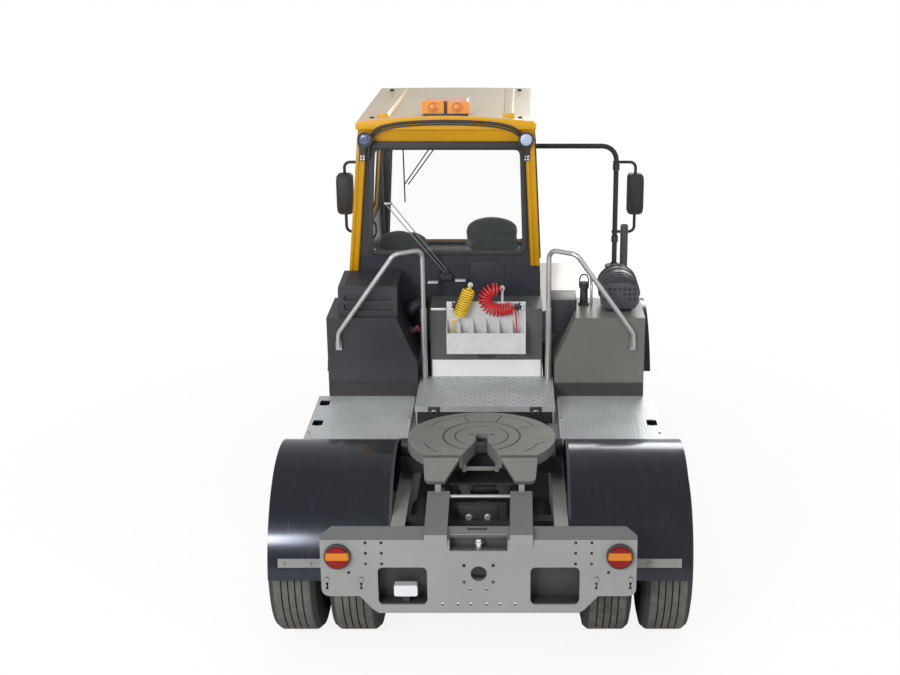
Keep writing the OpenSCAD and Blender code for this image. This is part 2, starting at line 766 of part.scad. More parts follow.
// Plastic cover with two long recesses on its rear face and slats on its top
module louvred_cover() {
  x0 = -cabinet_out + 80;
  x1 = -cabinet_in - 132;
  y0 = cabinet_y0 + 45;
  y1 = cab_y0 - 45;
  color("darkslategray") difference() {
    plate(x0, x1) polygon([[y0, cabinet_z], [y1, cabinet_z], [y1, cover_z1 + 10], [y0 + 25, cover_z1],
      [y0, cover_z1 - 30]]);
    for (z = [cabinet_z + 62, cabinet_z + 132])
      slab(y0 - eps, y0 + 22) translate([(x0 + x1) / 2, z]) polygon(round_rect(330, 44, 21));
    for (i = [0:6])
      block(x0 + 40, x1 - 40, y0 + 60 + i * 46, y0 + 84 + i * 46, cover_z1 - 22, cover_z1 + 30);
  }
}

cleaner_x = cabinet_out - 168;
cleaner_z = cabinet_z + cleaner_d / 2 + 6;

// Air cleaner drum with a perforated end cap, lying on two feet
module air_cleaner() {
  y0 = cabinet_y0 + 130;
  len_y = 330;
  color("black") {
    difference() {
      translate([cleaner_x, y0 + len_y, cleaner_z]) rotate([90, 0, 0]) cylinder(d = cleaner_d, h = len_y);
      for (j = [-3:3]) for (i = [-3:3]) if (norm([i, j]) * 34 < cleaner_d / 2 - 24)
        translate([cleaner_x + i * 34, y0 + 14, cleaner_z + j * 34]) rotate([90, 0, 0])
          cylinder(d = 20, h = 20, $fn = 24);
    }
    for (y = [y0 + 50, y0 + len_y - 90])
      block(cleaner_x - 90, cleaner_x + 90, y, y + 40, cabinet_z, cabinet_z + 60);
    slab(panel_y0 + 5, panel_y0 + 255) valve_box();
  }
}

// Box that lies against the right cabinet's slope
module valve_box() {
  low = cabinet_z - 164;
  high = cabinet_z + 78;
  x0 = cabinet_in - 22;
  polygon([[x0, low], [slope_at(low) - 2, low], [slope_at(cabinet_z) - 3, cabinet_z + pin_play],
    [x0 + 176, cabinet_z + pin_play], [x0 + 176, high], [x0, high]]);
}

cowl_z = 1420;
exhaust_x = cabinet_out - 95;
exhaust_y = cab_y0 + 300;

// Upright pipe with a bevelled end
module exhaust_stack() {
  color("dimgray") difference() {
    union() {
      translate([exhaust_x, exhaust_y, cowl_z]) cylinder(d = exhaust_d, h = exhaust_z - cowl_z);
      translate([exhaust_x, exhaust_y, cowl_z]) cylinder(d = exhaust_d + 50, h = 14);
    }
    translate([exhaust_x, exhaust_y, exhaust_z - 150]) cylinder(d = exhaust_d - 6, h = 150 + eps);
    translate([exhaust_x, exhaust_y, exhaust_z]) rotate([-40, 0, 0])
      translate([-100, -100, 24]) cube([200, 300, 100]);
  }
}

// Lift boom and its cylinders

fifth_lug_out = 425;
fifth_lug_t = 40;
pedestal_in = fifth_w / 2 + 6;
pedestal_t = 40;
boom_hub_d = boom_h + 10;

// Two arms on a hub tube, a head beam with pedestals, and the pins
module lift_boom() {
  dir = unit([fifth_pivot_y - boom_y, head_z - boom_z]);
  off = [-dir.y, dir.x] * boom_h / 2;
  a = [boom_y, boom_z];
  b = [fifth_pivot_y, head_z];
  head_l = 90;
  head_h = 94;
  pedestal_r = 42;
  color("darkgray") difference() {
    union() {
      both() plate(boom_x - boom_t / 2, boom_x + boom_t / 2) polygon([a + off, b + off, b - off, a - off]);
      pin(-boom_x - boom_t / 2, boom_x + boom_t / 2, boom_y, boom_z, boom_hub_d);
      pin(-boom_x, boom_x, eye_y, eye_z, lift_pin_d);
      block(-pedestal_in - pedestal_t, pedestal_in + pedestal_t, fifth_pivot_y - head_l,
        fifth_pivot_y + head_l, head_z - head_h / 2, head_z + head_h / 2);
      block(-190, 190, fifth_pivot_y - head_l - 180, fifth_pivot_y,
        head_z - head_h / 2, head_z - head_h / 2 + 16);
      both() {
        pin(pedestal_in, pedestal_in + pedestal_t, fifth_pivot_y, fifth_pivot_z, 2 * pedestal_r);
        block(pedestal_in, pedestal_in + pedestal_t, fifth_pivot_y - pedestal_r,
          fifth_pivot_y + pedestal_r, head_z, fifth_pivot_z);
        pin(fifth_lug_out - fifth_lug_t - 6, pedestal_in + eps, fifth_pivot_y, fifth_pivot_z, fifth_pin_d);
      }
    }
    pin(-big, big, boom_y, boom_z, boom_shaft_d + 2 * pin_play);
  }
}

lift_dir = unit([0, eye_y - lift_y, eye_z - lift_z]);
lift_len = norm([eye_y - lift_y, eye_z - lift_z]);
lift_foot = 60;
lift_barrel_len = lift_len - 110;
lift_wall = 10;
eye_play = 9;

// Placed along a cylinder's axis, with the lower pin at the origin
module on_lift() {
  for (s = [-1, 1])
    multmatrix(frame_of([1, 0, 0], cross(lift_dir, [1, 0, 0]), lift_dir,
      [s * lift_x, lift_y, lift_z])) children();
}

module lift_barrels() {
  eye_w = 60;
  color("silver") on_lift() difference() {
    union() {
      translate([0, 0, lift_foot - 25])
        cylinder(d = lift_bore + 2 * lift_wall, h = lift_barrel_len - lift_foot + 25);
      rotate([0, 90, 0]) translate([0, 0, -eye_w / 2]) cylinder(d = 84, h = eye_w);
    }
    translate([0, 0, lift_foot + 20]) cylinder(d = lift_rod_d + 2 * pin_play, h = lift_len);
    rotate([0, 90, 0]) translate([0, 0, -eye_w]) cylinder(d = lift_pin_d + 2 * pin_play, h = 2 * eye_w);
  }
}

module lift_rods() {
  eye_w = 50;
  bore = lift_pin_d + 2 * eye_play;
  color("gainsboro") on_lift() difference() {
    union() {
      translate([0, 0, lift_foot + 40]) cylinder(d = lift_rod_d, h = lift_len - lift_foot - 40 - bore / 2);
      translate([-eye_w / 2, 0, lift_len]) rotate([0, 90, 0]) cylinder(d = bore + 36, h = eye_w);
    }
    translate([-eye_w, 0, lift_len]) rotate([0, 90, 0]) cylinder(d = bore, h = 2 * eye_w);
  }
}

// Fifth wheel

fifth_t = 28;
fifth_fold = 290;
tail_len = 190;
tail_slope = 30;
throat_half = 108;
throat_y = 75;
slot_half = 36;
fifth_r = fifth_w / 2;
// Flattening of the plate's front half
squash = 0.88;
// Columns: inner half width at the fold and at the tip, outer at the fold and at the tip
tail_half = [[throat_half, 202], [332, 320]];

// The plate's outline about the kingpin, for a radius
function plate_rim(r) = [for (i = [0:95]) let (a = 360 * i / 96)
  [r * cos(a), kingpin_y + r * sin(a) * (sin(a) > 0 ? squash : 1)]];

module fifth_top() {
  difference() {
    intersection() {
      polygon(plate_rim(fifth_r));
      translate([-fifth_r, kingpin_y - fifth_fold]) square([2 * fifth_r, 2 * fifth_r]);
    }
    throat();
  }
}

module throat() {
  end_y = kingpin_y - fifth_fold - eps;
  neck_y = kingpin_y - throat_y;
  polygon([[-throat_half, end_y], [-slot_half, neck_y], [-slot_half, kingpin_y],
    [slot_half, kingpin_y], [slot_half, neck_y], [throat_half, end_y]]);
  translate([0, kingpin_y]) circle(r = slot_half);
}

groove_depth = 4;

// A ring-shaped groove in the top, or a part of one between two angles
module grease_groove(r, w, a0 = 0, a1 = 360) {
  translate([0, kingpin_y, fifth_z - groove_depth]) rotate([0, 0, a0])
    rotate_extrude(angle = a1 - a0, $fn = 96) translate([r - w / 2, 0]) square([w, groove_depth + eps]);
}

// A straight groove in the top, from one radius to another at an angle, turned by a lean
module straight_groove(r, l, a, lean = 0) {
  w = 7;
  translate([0, kingpin_y, fifth_z - groove_depth]) rotate([0, 0, a])
    translate([r, 0, 0]) rotate([0, 0, lean])
    translate([0, -w / 2, 0]) cube([l, w, groove_depth + eps]);
}

// The pattern of grooves on the plate's top
module groove_pattern() {
  outer = fifth_r * 0.80;
  ring = fifth_r * 0.52;
  grease_groove(ring, 12);
  grease_groove(fifth_r * 0.36, 8);
  grease_groove(outer, 8, 28, 82);
  grease_groove(outer, 8, 98, 152);
  for (a = [200, 316]) grease_groove(outer, 8, a, a + 24);
  for (c = [[28, -40], [152, 40], [200, -40], [340, 40]]) straight_groove(outer, 46, c[0], c[1]);
  for (a = [28, 70, 110, 152]) straight_groove(ring + 6, outer - ring - 12, a);
  both() translate([50, kingpin_y + 12, fifth_z - groove_depth]) cube([28, 18, groove_depth + eps]);
}

// Upright web along one side of the throat
module throat_skirt() {
  skirt_t = 16;
  skirt_h = 84;
  translate([0, 0, fifth_z - skirt_h]) linear_extrude(skirt_h - eps) polygon([
    [slot_half, kingpin_y - throat_y - 6], [throat_half, kingpin_y - fifth_fold],
    [throat_half + skirt_t, kingpin_y - fifth_fold], [slot_half + skirt_t, kingpin_y - throat_y - 6]]);
}

// Sloping tail on the right with a round outer corner
module tail() {
  r = 34;
  tip = tail_half[1][1];
  translate([0, 0, -fifth_t]) linear_extrude(fifth_t) {
    polygon([[tail_half[0][0], 0], [tail_half[0][1], -tail_len], [tip - r, -tail_len], [tip, r - tail_len],
      [tail_half[1][0], 0]]);
    translate([tip - r, r - tail_len]) circle(r = r);
  }
}

// Cast plate with a rim, grooves, sloping tails, webs by the throat and pivot lugs
module fifth_wheel_plate() {
  rim_h = 62;
  rim_t = 26;
  color("darkgray") difference() {
    union() {
      translate([0, 0, fifth_z - fifth_t]) linear_extrude(fifth_t) fifth_top();
      translate([0, 0, fifth_z - rim_h]) linear_extrude(rim_h) difference() {
        fifth_top();
        polygon(plate_rim(fifth_r - rim_t));
      }
      translate([0, kingpin_y - fifth_fold, fifth_z]) rotate([tail_slope, 0, 0]) both() tail();
      both() {
        throat_skirt();
        pin(fifth_lug_out - fifth_lug_t, fifth_lug_out, fifth_pivot_y, fifth_pivot_z, 88);
        block(fifth_lug_out - fifth_lug_t, fifth_lug_out, fifth_pivot_y - 44, fifth_pivot_y + 44,
          fifth_pivot_z, fifth_z - fifth_t + eps);
      }
    }
    groove_pattern();
    both() pin(fifth_lug_out - fifth_lug_t - eps, fifth_lug_out + eps, fifth_pivot_y, fifth_pivot_z,
      fifth_pin_d + 2 * pin_play);
  }
}

// Closed jaw under the plate, with the kingpin's seat
module fifth_wheel_jaw() {
  jaw_h = 50;
  color("gray") difference() {
    block(-110, 110, kingpin_y - 75, kingpin_y + 110, fifth_z - fifth_t - jaw_h, fifth_z - fifth_t);
    translate([0, kingpin_y, 0]) cylinder(d = kingpin_seat_d, h = big);
  }
}

// Axles and wheels

rim_r = rim_d / 2;
tyre_r = tyre_d / 2;
bead_share = 0.74;
rim_half = bead_share * tyre_w / 2 + 9;
spindle_d = 90;
hub_r = 130;

// A shape of revolution about X, from an outline of radius and distance along X
module turned(x, y) {
  translate([x, y, axle_z]) rotate([0, 90, 0]) rotate_extrude($fn = 96) children();
}

module tyre_outline() {
  hw = tyre_w / 2;
  // Columns: radius inwards from the tread, share of the half width
  side = [[tyre_r - rim_r - pin_play, 0.70], [tyre_r - rim_r - 22, bead_share], [tyre_r - rim_r - 62, 0.94],
    [130, 1], [70, 0.97], [24, 0.88], [5, 0.75], [0, 0.65]];
  polygon(concat(
    [for (s = side) [tyre_r - s[0], -hw * s[1]]],
    [for (i = [len(side) - 1:-1:0]) [tyre_r - side[i][0], hw * side[i][1]]]));
}

// Well, lips and disc of one rim, with the disc from the rim's edge to the hub's face
module rim_outline(edge, face) {
  t = 12;
  lip = 16;
  polygon([[rim_r - t, -rim_half], [rim_r + lip, -rim_half], [rim_r + lip, -rim_half + 6],
    [rim_r, -rim_half + 6], [rim_r, rim_half - 6], [rim_r + lip, rim_half - 6], [rim_r + lip, rim_half],
    [rim_r - t, rim_half]]);
  polygon([[rim_r - t / 2, edge - 8], [rim_r - t / 2, edge + 8],
    [hub_r - 10, face + 8], [hub_r - 10, face - 8]]);
}

// Round hand-holes through the discs of a wheel
module wheel_holes(x, y) {
  hole_r = 212;
  for (i = [0:7]) translate([x, y, axle_z]) rotate([45 * i + 22.5, 0, 0]) translate([-dual_gap, 0, hole_r])
    rotate([0, 90, 0]) cylinder(d = 54, h = 2 * dual_gap, $fn = 32);
}

module hub_outline(a, b, cap) {
  bore = spindle_d / 2 + pin_play;
  polygon([[bore, a], [hub_r, a], [hub_r, b], [hub_r - 45, b + 50],
    [0, b + 50], [0, b + cap], [bore, b + cap]]);
}

module twin_tyres(side) {
  for (s = [-1, 1]) turned(side * rear_x + s * dual_gap / 2, rear_axle_y) tyre_outline();
}

module twin_rims(side) {
  translate([side * rear_x, 0, 0]) mirror([side < 0 ? 1 : 0, 0, 0]) difference() {
    union() {
      turned(-dual_gap / 2, rear_axle_y) rim_outline(rim_half - 20, dual_gap / 2 - 8);
      turned(dual_gap / 2, rear_axle_y) rim_outline(-rim_half + 20, -dual_gap / 2 + 8);
      turned(0, rear_axle_y) hub_outline(-100, 90, 10);
    }
    wheel_holes(0, rear_axle_y);
  }
}

module rear_left_tyres() {
  color("black") twin_tyres(-1);
}

module rear_right_tyres() {
  color("black") twin_tyres(1);
}

module rear_left_rims() {
  color("whitesmoke") twin_rims(-1);
}

module rear_right_rims() {
  color("whitesmoke") twin_rims(1);
}

// Axle tube with a round differential, brackets to the rails and the wheels' spindles
module rear_axle() {
  tube_d = 170;
  tube_end = rear_x - 115;
  color("black") {
    pin(-tube_end, tube_end, rear_axle_y, axle_z, tube_d);
    pin(-rear_x - 85, rear_x + 85, rear_axle_y, axle_z, spindle_d);
    translate([0, rear_axle_y, axle_z]) sphere(d = 420);
    translate([0, rear_axle_y, axle_z + 20]) rotate([-90, 0, 0]) cylinder(d1 = 260, d2 = 150, h = 380);
    both() block(rail_x - 70, rail_x, rear_axle_y - 110, rear_axle_y + 110, axle_z, rail_z);
  }
}

beam_d = 90;
hub_top = axle_z + 60;
hub_low = axle_z - 60;
fork_gap = 2;
fork_t = 30;
kingpin_d = 44;
arm_len = 180;
arm_x = kingpin_x - 20;

// Dropped beam with an upright eye at each end and pads under the rails
module front_axle() {
  drop = 110;
  color("black") difference() {
    union() {
      block(-kingpin_x + drop, kingpin_x - drop, front_axle_y - 40, front_axle_y + 40, axle_z - 95, axle_z - 5);
      both() {
        block(kingpin_x - drop - 30, kingpin_x, front_axle_y - 40, front_axle_y + 40, axle_z - 60, axle_z + 40);
        translate([kingpin_x, front_axle_y, hub_low]) cylinder(d = beam_d, h = hub_top - hub_low);
        block(rail_x - 75, rail_x - 5, front_axle_y - 70, front_axle_y + 70, axle_z - 30, rail_z);
      }
    }
    both() translate([kingpin_x, front_axle_y, 0]) cylinder(d = kingpin_d + 2 * pin_play, h = big);
  }
}

// Fork, kingpin, spindle and steering arm
module knuckle() {
  low = hub_low - fork_gap - fork_t;
  high = hub_top + fork_gap;
  color("dimgray") {
    for (z = [low, high]) {
      translate([kingpin_x, front_axle_y, z]) cylinder(d = beam_d, h = fork_t);
      block(kingpin_x, kingpin_x + 88, front_axle_y - 42, front_axle_y + 42, z, z + fork_t);
    }
    translate([kingpin_x, front_axle_y, low]) cylinder(d = kingpin_d, h = high + fork_t - low);
    block(kingpin_x + 58, kingpin_x + 88, front_axle_y - 42, front_axle_y + 42, low, high + fork_t);
    pin(kingpin_x + 80, front_x + 85, front_axle_y, axle_z, spindle_d);
    steering_arm(low);
  }
}

module steering_arm(z) {
  translate([0, 0, z]) linear_extrude(fork_t) {
    polygon([[kingpin_x - 40, front_axle_y], [kingpin_x + 30, front_axle_y],
      [arm_x + 28, front_axle_y - arm_len],
      [arm_x - 28, front_axle_y - arm_len]]);
    translate([arm_x, front_axle_y - arm_len]) circle(d = 62);
  }
}

module left_knuckle() {
  mirror([1, 0, 0]) knuckle();
}

module right_knuckle() {
  knuckle();
}

// Bar below the steering arms
module tie_rod() {
  top = hub_low - fork_gap - fork_t - pin_play;
  rod_d = 36;
  end_d = 48;
  color("silver") {
    both() translate([arm_x, front_axle_y - arm_len, top - 40]) cylinder(d = end_d, h = 40);
    pin(-arm_x, arm_x, front_axle_y - arm_len, top - 20, rod_d);
  }
}

module front_tyre(side) {
  color("black") turned(side * front_x, front_axle_y) tyre_outline();
}

module front_rim(side) {
  color("whitesmoke") translate([side * front_x, 0, 0]) mirror([side < 0 ? 1 : 0, 0, 0])
    difference() {
      union() {
        turned(0, front_axle_y) rim_outline(rim_half - 20, 70);
        turned(0, front_axle_y) hub_outline(-40, 90, 10);
      }
      wheel_holes(0, front_axle_y);
    }
}

module front_left_tyre() {
  front_tyre(-1);
}

module front_right_tyre() {
  front_tyre(1);
}

module front_left_rim() {
  front_rim(-1);
}

module front_right_rim() {
  front_rim(1);
}

// Engine, cowl and front

engine_half = 250;
engine_y0 = cab_y0 + 330;
engine_y1 = cab_y1 - 450;
engine_z1 = cab_z0 - 55;

module engine_block() {
  mount_y = engine_y1 - 180;
  mount_l = 80;
  color("gray") {
    block(-engine_half, engine_half + 50, engine_y0, engine_y1, rail_z + 20, engine_z1);
    both() block(engine_half, rail_x - rail_t, mount_y, mount_y + mount_l, rail_z + 60, rail_z + 60 + mount_l);
  }
}

nose_len = 320;
nose_y0 = cab_y1 - nose_len;
nose_z0 = 770;
cowl_x0 = cab_right + 12;
cowl_x1 = cabinet_out;

cowl_front_z = cab_z0 - 5;
cowl_low = cab_z0 - 85;

// Engine cowl beside the cab, with a rounded outer edge, a sloping front, a deep nose and pads on the rail
module engine_cowl() {
  r = 90;
  cowl_gap = 15;
  y1 = cab_y1 - 40;
  color("tan") {
    intersection() {
      slab(cab_y0 + 4, y1) polygon(concat(
        [[cowl_x0, cowl_low], [cowl_x1, cowl_low]],
        [for (a = [0:15:90]) [cowl_x1 - r + r * cos(a), cowl_z - r + r * sin(a)]],
        [[cowl_x0, cowl_z]]));
      plate(cowl_x0, cowl_x1) polygon([[cab_y0 + 4, cab_z0], [cab_y0 + 4, cowl_z], [hoop_y + 90, cowl_z],
        [y1, cowl_front_z], [y1, cowl_low], [nose_y0, cowl_low], [nose_y0, cab_z0]]);
    }
    block(rail_x + cowl_gap, cowl_x1, nose_y0, y1, nose_z0, cowl_low + eps);
    for (y = [nose_y0 + 30, cab_y1 - 130])
      block(rail_x, rail_x + cowl_gap + eps, y, y + 60, nose_z0 + 30, rail_top - 30);
  }
}

// Framed slats on the cowl's nose
module grille() {
  x0 = rail_x + 55;
  x1 = cowl_x1 - 60;
  z0 = nose_z0 + 60;
  z1 = cowl_front_z - 60;
  y0 = cab_y1 - 40;
  t = 30;
  color("black") {
    difference() {
      block(x0, x1, y0, y0 + t, z0, z1);
      block(x0 + t, x1 - t, y0 + 6, y0 + t + eps, z0 + t, z1 - t);
    }
    for (i = [1:8]) {
      z = z0 + t + i * (z1 - z0 - 2 * t) / 9;
      block(x0 + t, x1 - t, y0 + 5, y0 + t - 6, z - 9, z + 9);
    }
  }
}

lamp_x = 930;
lamp_z = 610;
lamp_d = 170;

// Deep steel bumper with sockets for the headlamps and a towing eye's bore
module front_bumper() {
  z0 = 430;
  z1 = 765;
  half = overall_w / 2 - 50;
  back_y = front_y - front_bumper_t;
  wing_y = back_y - 150;
  side_y = back_y + 60;
  wing_t = 14;
  color("dimgray") difference() {
    translate([0, 0, z0]) linear_extrude(z1 - z0) polygon([[-half, wing_y], [-half, side_y],
      [-half + 150, front_y], [half - 150, front_y], [half, side_y], [half, wing_y],
      [half - wing_t, wing_y], [half - wing_t, back_y], [-half + wing_t, back_y], [-half + wing_t, wing_y]]);
    both() translate([lamp_x, front_y + eps, lamp_z]) rotate([90, 0, 0])
      cylinder(d = lamp_d + 2 * pin_play, h = 91);
    translate([0, front_y + eps, 560]) rotate([90, 0, 0]) cylinder(d = 60, h = front_bumper_t + 2 * eps);
  }
}

module headlamps() {
  color("white") both() translate([lamp_x, front_y - 4, lamp_z]) rotate([90, 0, 0]) {
    cylinder(d = lamp_d, h = 86);
    translate([0, 0, -2]) cylinder(d = lamp_d - 24, h = 10);
  }
}

// Treads between two side plates, carried by bars on the left rail
module cab_steps() {
  x0 = -cabinet_out;
  x1 = x0 + 330;
  y0 = cab_y0 + 40;
  y1 = y0 + 380;
  tread_t = 24;
  color("gray") {
    for (y = [y0, y1 - step_side_t]) step_side(x0, x1, y);
    for (z = [rail_z - step_rise, rail_z, rail_z + step_rise])
      block(x0 + (z - rail_z + step_rise) * 0.12, x1, y0, y1, z, z + tread_t);
    for (y = [y0 + 60, y1 - 110]) block(x1 - 10, -rail_x, y, y + 50, rail_z, rail_z + tread_t);
  }
}

step_rise = 280;
step_side_t = 8;

module step_side(x0, x1, y) {
  z0 = rail_z - step_rise - 20;
  slab(y, y + step_side_t) polygon([[x0, z0], [x1, z0], [x1, cab_z0], [x0 + 100, cab_z0]]);
}

// Cab

floor_t = 60;
sill_z = cab_z0 + floor_t;
cab_h = cab_top_z - cab_waist_z;
screen_z = cab_waist_z - 300;
screen_h = cab_top_z - screen_z;
front_y0 = cab_y1 - wall_t;
top_left = -cab_left + lean_left;
top_right = cab_right - lean_right;
rear_win_z0 = 1860;
rear_win_z1 = 2600;
side_win_z0 = 1780;
side_win_z1 = 2630;
pillar = 90;

// Side of the cab at a height, on the left or on the right
function left_at(z) = -cab_left + lean_left * max(0, z - cab_waist_z) / cab_h;
function right_at(z) = cab_right - lean_right * max(0, z - cab_waist_z) / cab_h;

// Front wall's outer face at a height
function front_at(z) = cab_y1 - rake * max(0, z - screen_z) / screen_h;

// The cab's outline seen from behind, from a height up, drawn in by an inset
module cab_outline(z0, inset = 0) {
  polygon([[left_at(z0) + inset, z0], [right_at(z0) - inset, z0],
    [right_at(cab_waist_z) - inset, max(z0, cab_waist_z)], [top_right - inset, cab_top_z],
    [top_left + inset, cab_top_z], [left_at(cab_waist_z) + inset, max(z0, cab_waist_z)]]);
}

// Strip of the left or right wall, a depth in from the face and with a thickness
module left_strip(depth, t) {
  polygon([[-cab_left + depth, sill_z], [-cab_left + depth, cab_waist_z], [top_left + depth, cab_top_z],
    [top_left + depth + t, cab_top_z], [-cab_left + depth + t, cab_waist_z], [-cab_left + depth + t, sill_z]]);
}

module right_strip(depth, t) {
  polygon([[cab_right - depth, sill_z], [cab_right - depth, cab_waist_z], [top_right - depth, cab_top_z],
    [top_right - depth - t, cab_top_z], [cab_right - depth - t, cab_waist_z], [cab_right - depth - t, sill_z]]);
}

// The cab's length at each height, between the rear and the front wall
module side_outline() {
  polygon([[cab_y0 + wall_t, sill_z], [front_y0, sill_z], [front_y0, screen_z],
    [front_at(cab_top_z) - wall_t, cab_top_z], [cab_y0 + wall_t, cab_top_z]]);
}

// A window's outline between two lines, with round corners, shrunk by a play
module window(y0, y1, z0, z1, lean0, lean1, play) {
  r = 50;
  corners = [[y0 + play, z0 + play], [y1 - play, z0 + play], [y1 + lean1 - play, z1 - play],
    [y0 + lean0 + play, z1 - play]];
  polygon([for (i = [0:3])
    let (p = corners[i], a = unit(corners[(i + 3) % 4] - p), b = unit(corners[(i + 1) % 4] - p))
    for (t = [0:0.25:1]) p + a * r * pow(1 - t, 2) + b * r * pow(t, 2)]);
}

screen_lean = -rake * (side_win_z1 - side_win_z0) / screen_h;
quarter_y0 = door_y1 + pillar;
quarter_y1 = front_at(side_win_z0) - wall_t - pillar;
right_y0 = cab_y0 + wall_t + pillar;
right_mid = (right_y0 + quarter_y1) / 2 - 100;

module quarter_window(play) {
  window(quarter_y0, quarter_y1, side_win_z0, side_win_z1, 0, screen_lean, play);
}

module right_windows(play) {
  window(right_y0, right_mid - pillar / 2, side_win_z0, side_win_z1, 0, 0, play);
  window(right_mid + pillar / 2, quarter_y1, side_win_z0, side_win_z1, 0, screen_lean, play);
}

module rear_window(play) {
  inset = [146, 109];
  lean = [37, -22];
  window(left_at(rear_win_z0) + inset[0], right_at(rear_win_z0) - inset[1], rear_win_z0, rear_win_z1,
    lean[0], lean[1], play);
}

module front_window(play) {
  z0 = screen_z + 20;
  z1 = cab_top_z - 90;
  window(left_at(z0) + pillar, right_at(z0) - pillar, z0, z1,
    left_at(z1) - left_at(z0), right_at(z1) - right_at(z0), play);
}

door_z0 = sill_z + 15;
door_z1 = cab_top_z - 70;

module cab_floor() {
  foot = 70;
  color("dimgray") {
    block(-cab_left, cab_right, cab_y0, cab_y1, cab_z0, sill_z);
    for (y = beam_ys) {
      block(80 - rail_x, 80 - rail_x + foot / 2, y - foot / 2, y + foot / 2, rail_top, cab_z0);
      block(cab_right - foot, cab_right - foot / 2, y - foot / 2, y + foot / 2, rail_top - 60, cab_z0);
    }
  }
}

module cab_rear_wall() {
  color("dimgray") difference() {
    slab(cab_y0, cab_y0 + wall_t) cab_outline(sill_z);
    slab(cab_y0 - eps, cab_y0 + wall_t + eps) rear_window(0);
  }
}

// Left wall with the doorway and a quarter window, right wall with two windows
module cab_side_walls() {
  color("gold") {
    difference() {
      intersection() {
        slab(cab_y0, cab_y1) left_strip(0, wall_t);
        plate(-big, big) side_outline();
      }
      block(-big, 0, door_y0, door_y1, door_z0, door_z1);
      plate(-big, 0) quarter_window(0);
    }
    hinge_pins();
    difference() {
      intersection() {
        slab(cab_y0, cab_y1) right_strip(0, wall_t);
        plate(-big, big) side_outline();
      }
      plate(0, big) right_windows(0);
    }
  }
}

// Strip of the front wall, a depth in from its face and with a thickness
module front_strip(depth, t) {
  polygon([[cab_y1 - depth, sill_z], [cab_y1 - depth, screen_z],
    [front_at(cab_top_z) - depth, cab_top_z], [front_at(cab_top_z) - depth - t, cab_top_z],
    [cab_y1 - depth - t, screen_z], [cab_y1 - depth - t, sill_z]]);
}

// Windscreen frame and the nose below it
module cab_front_wall() {
  color("gold") {
    difference() {
      intersection() {
        plate(-big, big) front_strip(0, wall_t);
        slab(0, big) cab_outline(sill_z);
      }
      slab(0, big) front_window(0);
    }
    block(-cab_left, cab_right, front_y0, cab_y1, rail_top + 12, cab_z0);
    block(-cab_left, -rail_x - 15, front_y0, cab_y1, nose_z0, rail_top + 12);
    block(-cab_left, -cab_left + wall_t, nose_y0, front_y0, nose_z0, cab_z0);
  }
}

// Panes of the rear, left quarter, right and front windows
module cab_glass() {
  inset = 14;
  color("lightcyan", 0.4) {
    slab(cab_y0 + inset, cab_y0 + inset + glass_t) rear_window(glass_play);
    intersection() {
      slab(cab_y0, cab_y1) left_strip(inset, glass_t);
      plate(-big, 0) quarter_window(glass_play);
    }
    intersection() {
      slab(cab_y0, cab_y1) right_strip(inset, glass_t);
      plate(0, big) right_windows(glass_play);
    }
    intersection() {
      plate(-big, big) front_strip(inset, glass_t);
      slab(0, big) front_window(glass_play);
    }
  }
}

roof_rise = 35;
roof_front = front_at(cab_top_z) + 40;
roof_rear = cab_y0 - 35;

// Crowned roof with two ribs along it
module cab_roof() {
  over = 12;
  rib_x = 433;
  l = top_left - over;
  r = top_right + over;
  mid = (l + r) / 2;
  half = (r - l) / 2;
  top = cab_top_z + roof_t;
  color("gold") {
    slab(roof_rear, roof_front) polygon(concat(
      [[l, cab_top_z], [r, cab_top_z], [r, top - 18], [r - 18, top]],
      [for (a = [60:-20:-60]) [mid + (half - 40) * a / 60, top + roof_rise * cos(a * 1.5)]],
      [[l + 18, top], [l, top - 18]]));
    for (s = [-1, 1]) slab(roof_rear + 60, roof_front - 60) polygon([
      [mid + s * rib_x - 45, top + 5], [mid + s * rib_x + 45, top + 5],
      [mid + s * rib_x + 30, top + roof_rise + 14], [mid + s * rib_x - 30, top + roof_rise + 14]]);
  }
}

door_win_z0 = side_win_z0 - 60;
door_rim = 75;

module door_window(play) {
  window(door_y0 + latch_gap + door_rim, door_y1 - door_gap - door_rim,
    door_win_z0, door_z1 - door_rim, 0, 0, play);
}

module cab_door() {
  color("gold") difference() {
    intersection() {
      slab(door_y0 + latch_gap, door_y1 - door_gap) left_strip(0, wall_t);
      block(-big, 0, door_y0, door_y1, door_z0 + door_gap, door_z1 - door_gap);
    }
    plate(-big, 0) door_window(0);
  }
  hinge_knuckles();
}

hinge_d = 24;
hinge_pin_d = 12;
hinge_h = 60;
hinge_x = -cab_left - hinge_d / 2 - 0.5;
hinge_y = door_y1 + 2;
// Heights of the door's two hinges
hinge_zs = [sill_z + 120, cab_waist_z - 110];

// Round knuckles on straps, on the door's outer face
module hinge_knuckles() {
  edge = door_y1 - door_gap;
  face = -cab_left;
  color("black") for (z = hinge_zs) difference() {
    union() {
      translate([hinge_x, hinge_y, z]) cylinder(d = hinge_d, h = hinge_h);
      block(hinge_x - 4, face - 0.5, edge, hinge_y, z, z + hinge_h);
      block(hinge_x - 4, face + eps, edge - 90, edge, z, z + hinge_h);
    }
    translate([hinge_x, hinge_y, z - eps]) cylinder(d = hinge_pin_d + 2 * pin_play, h = hinge_h + 2 * eps);
  }
}

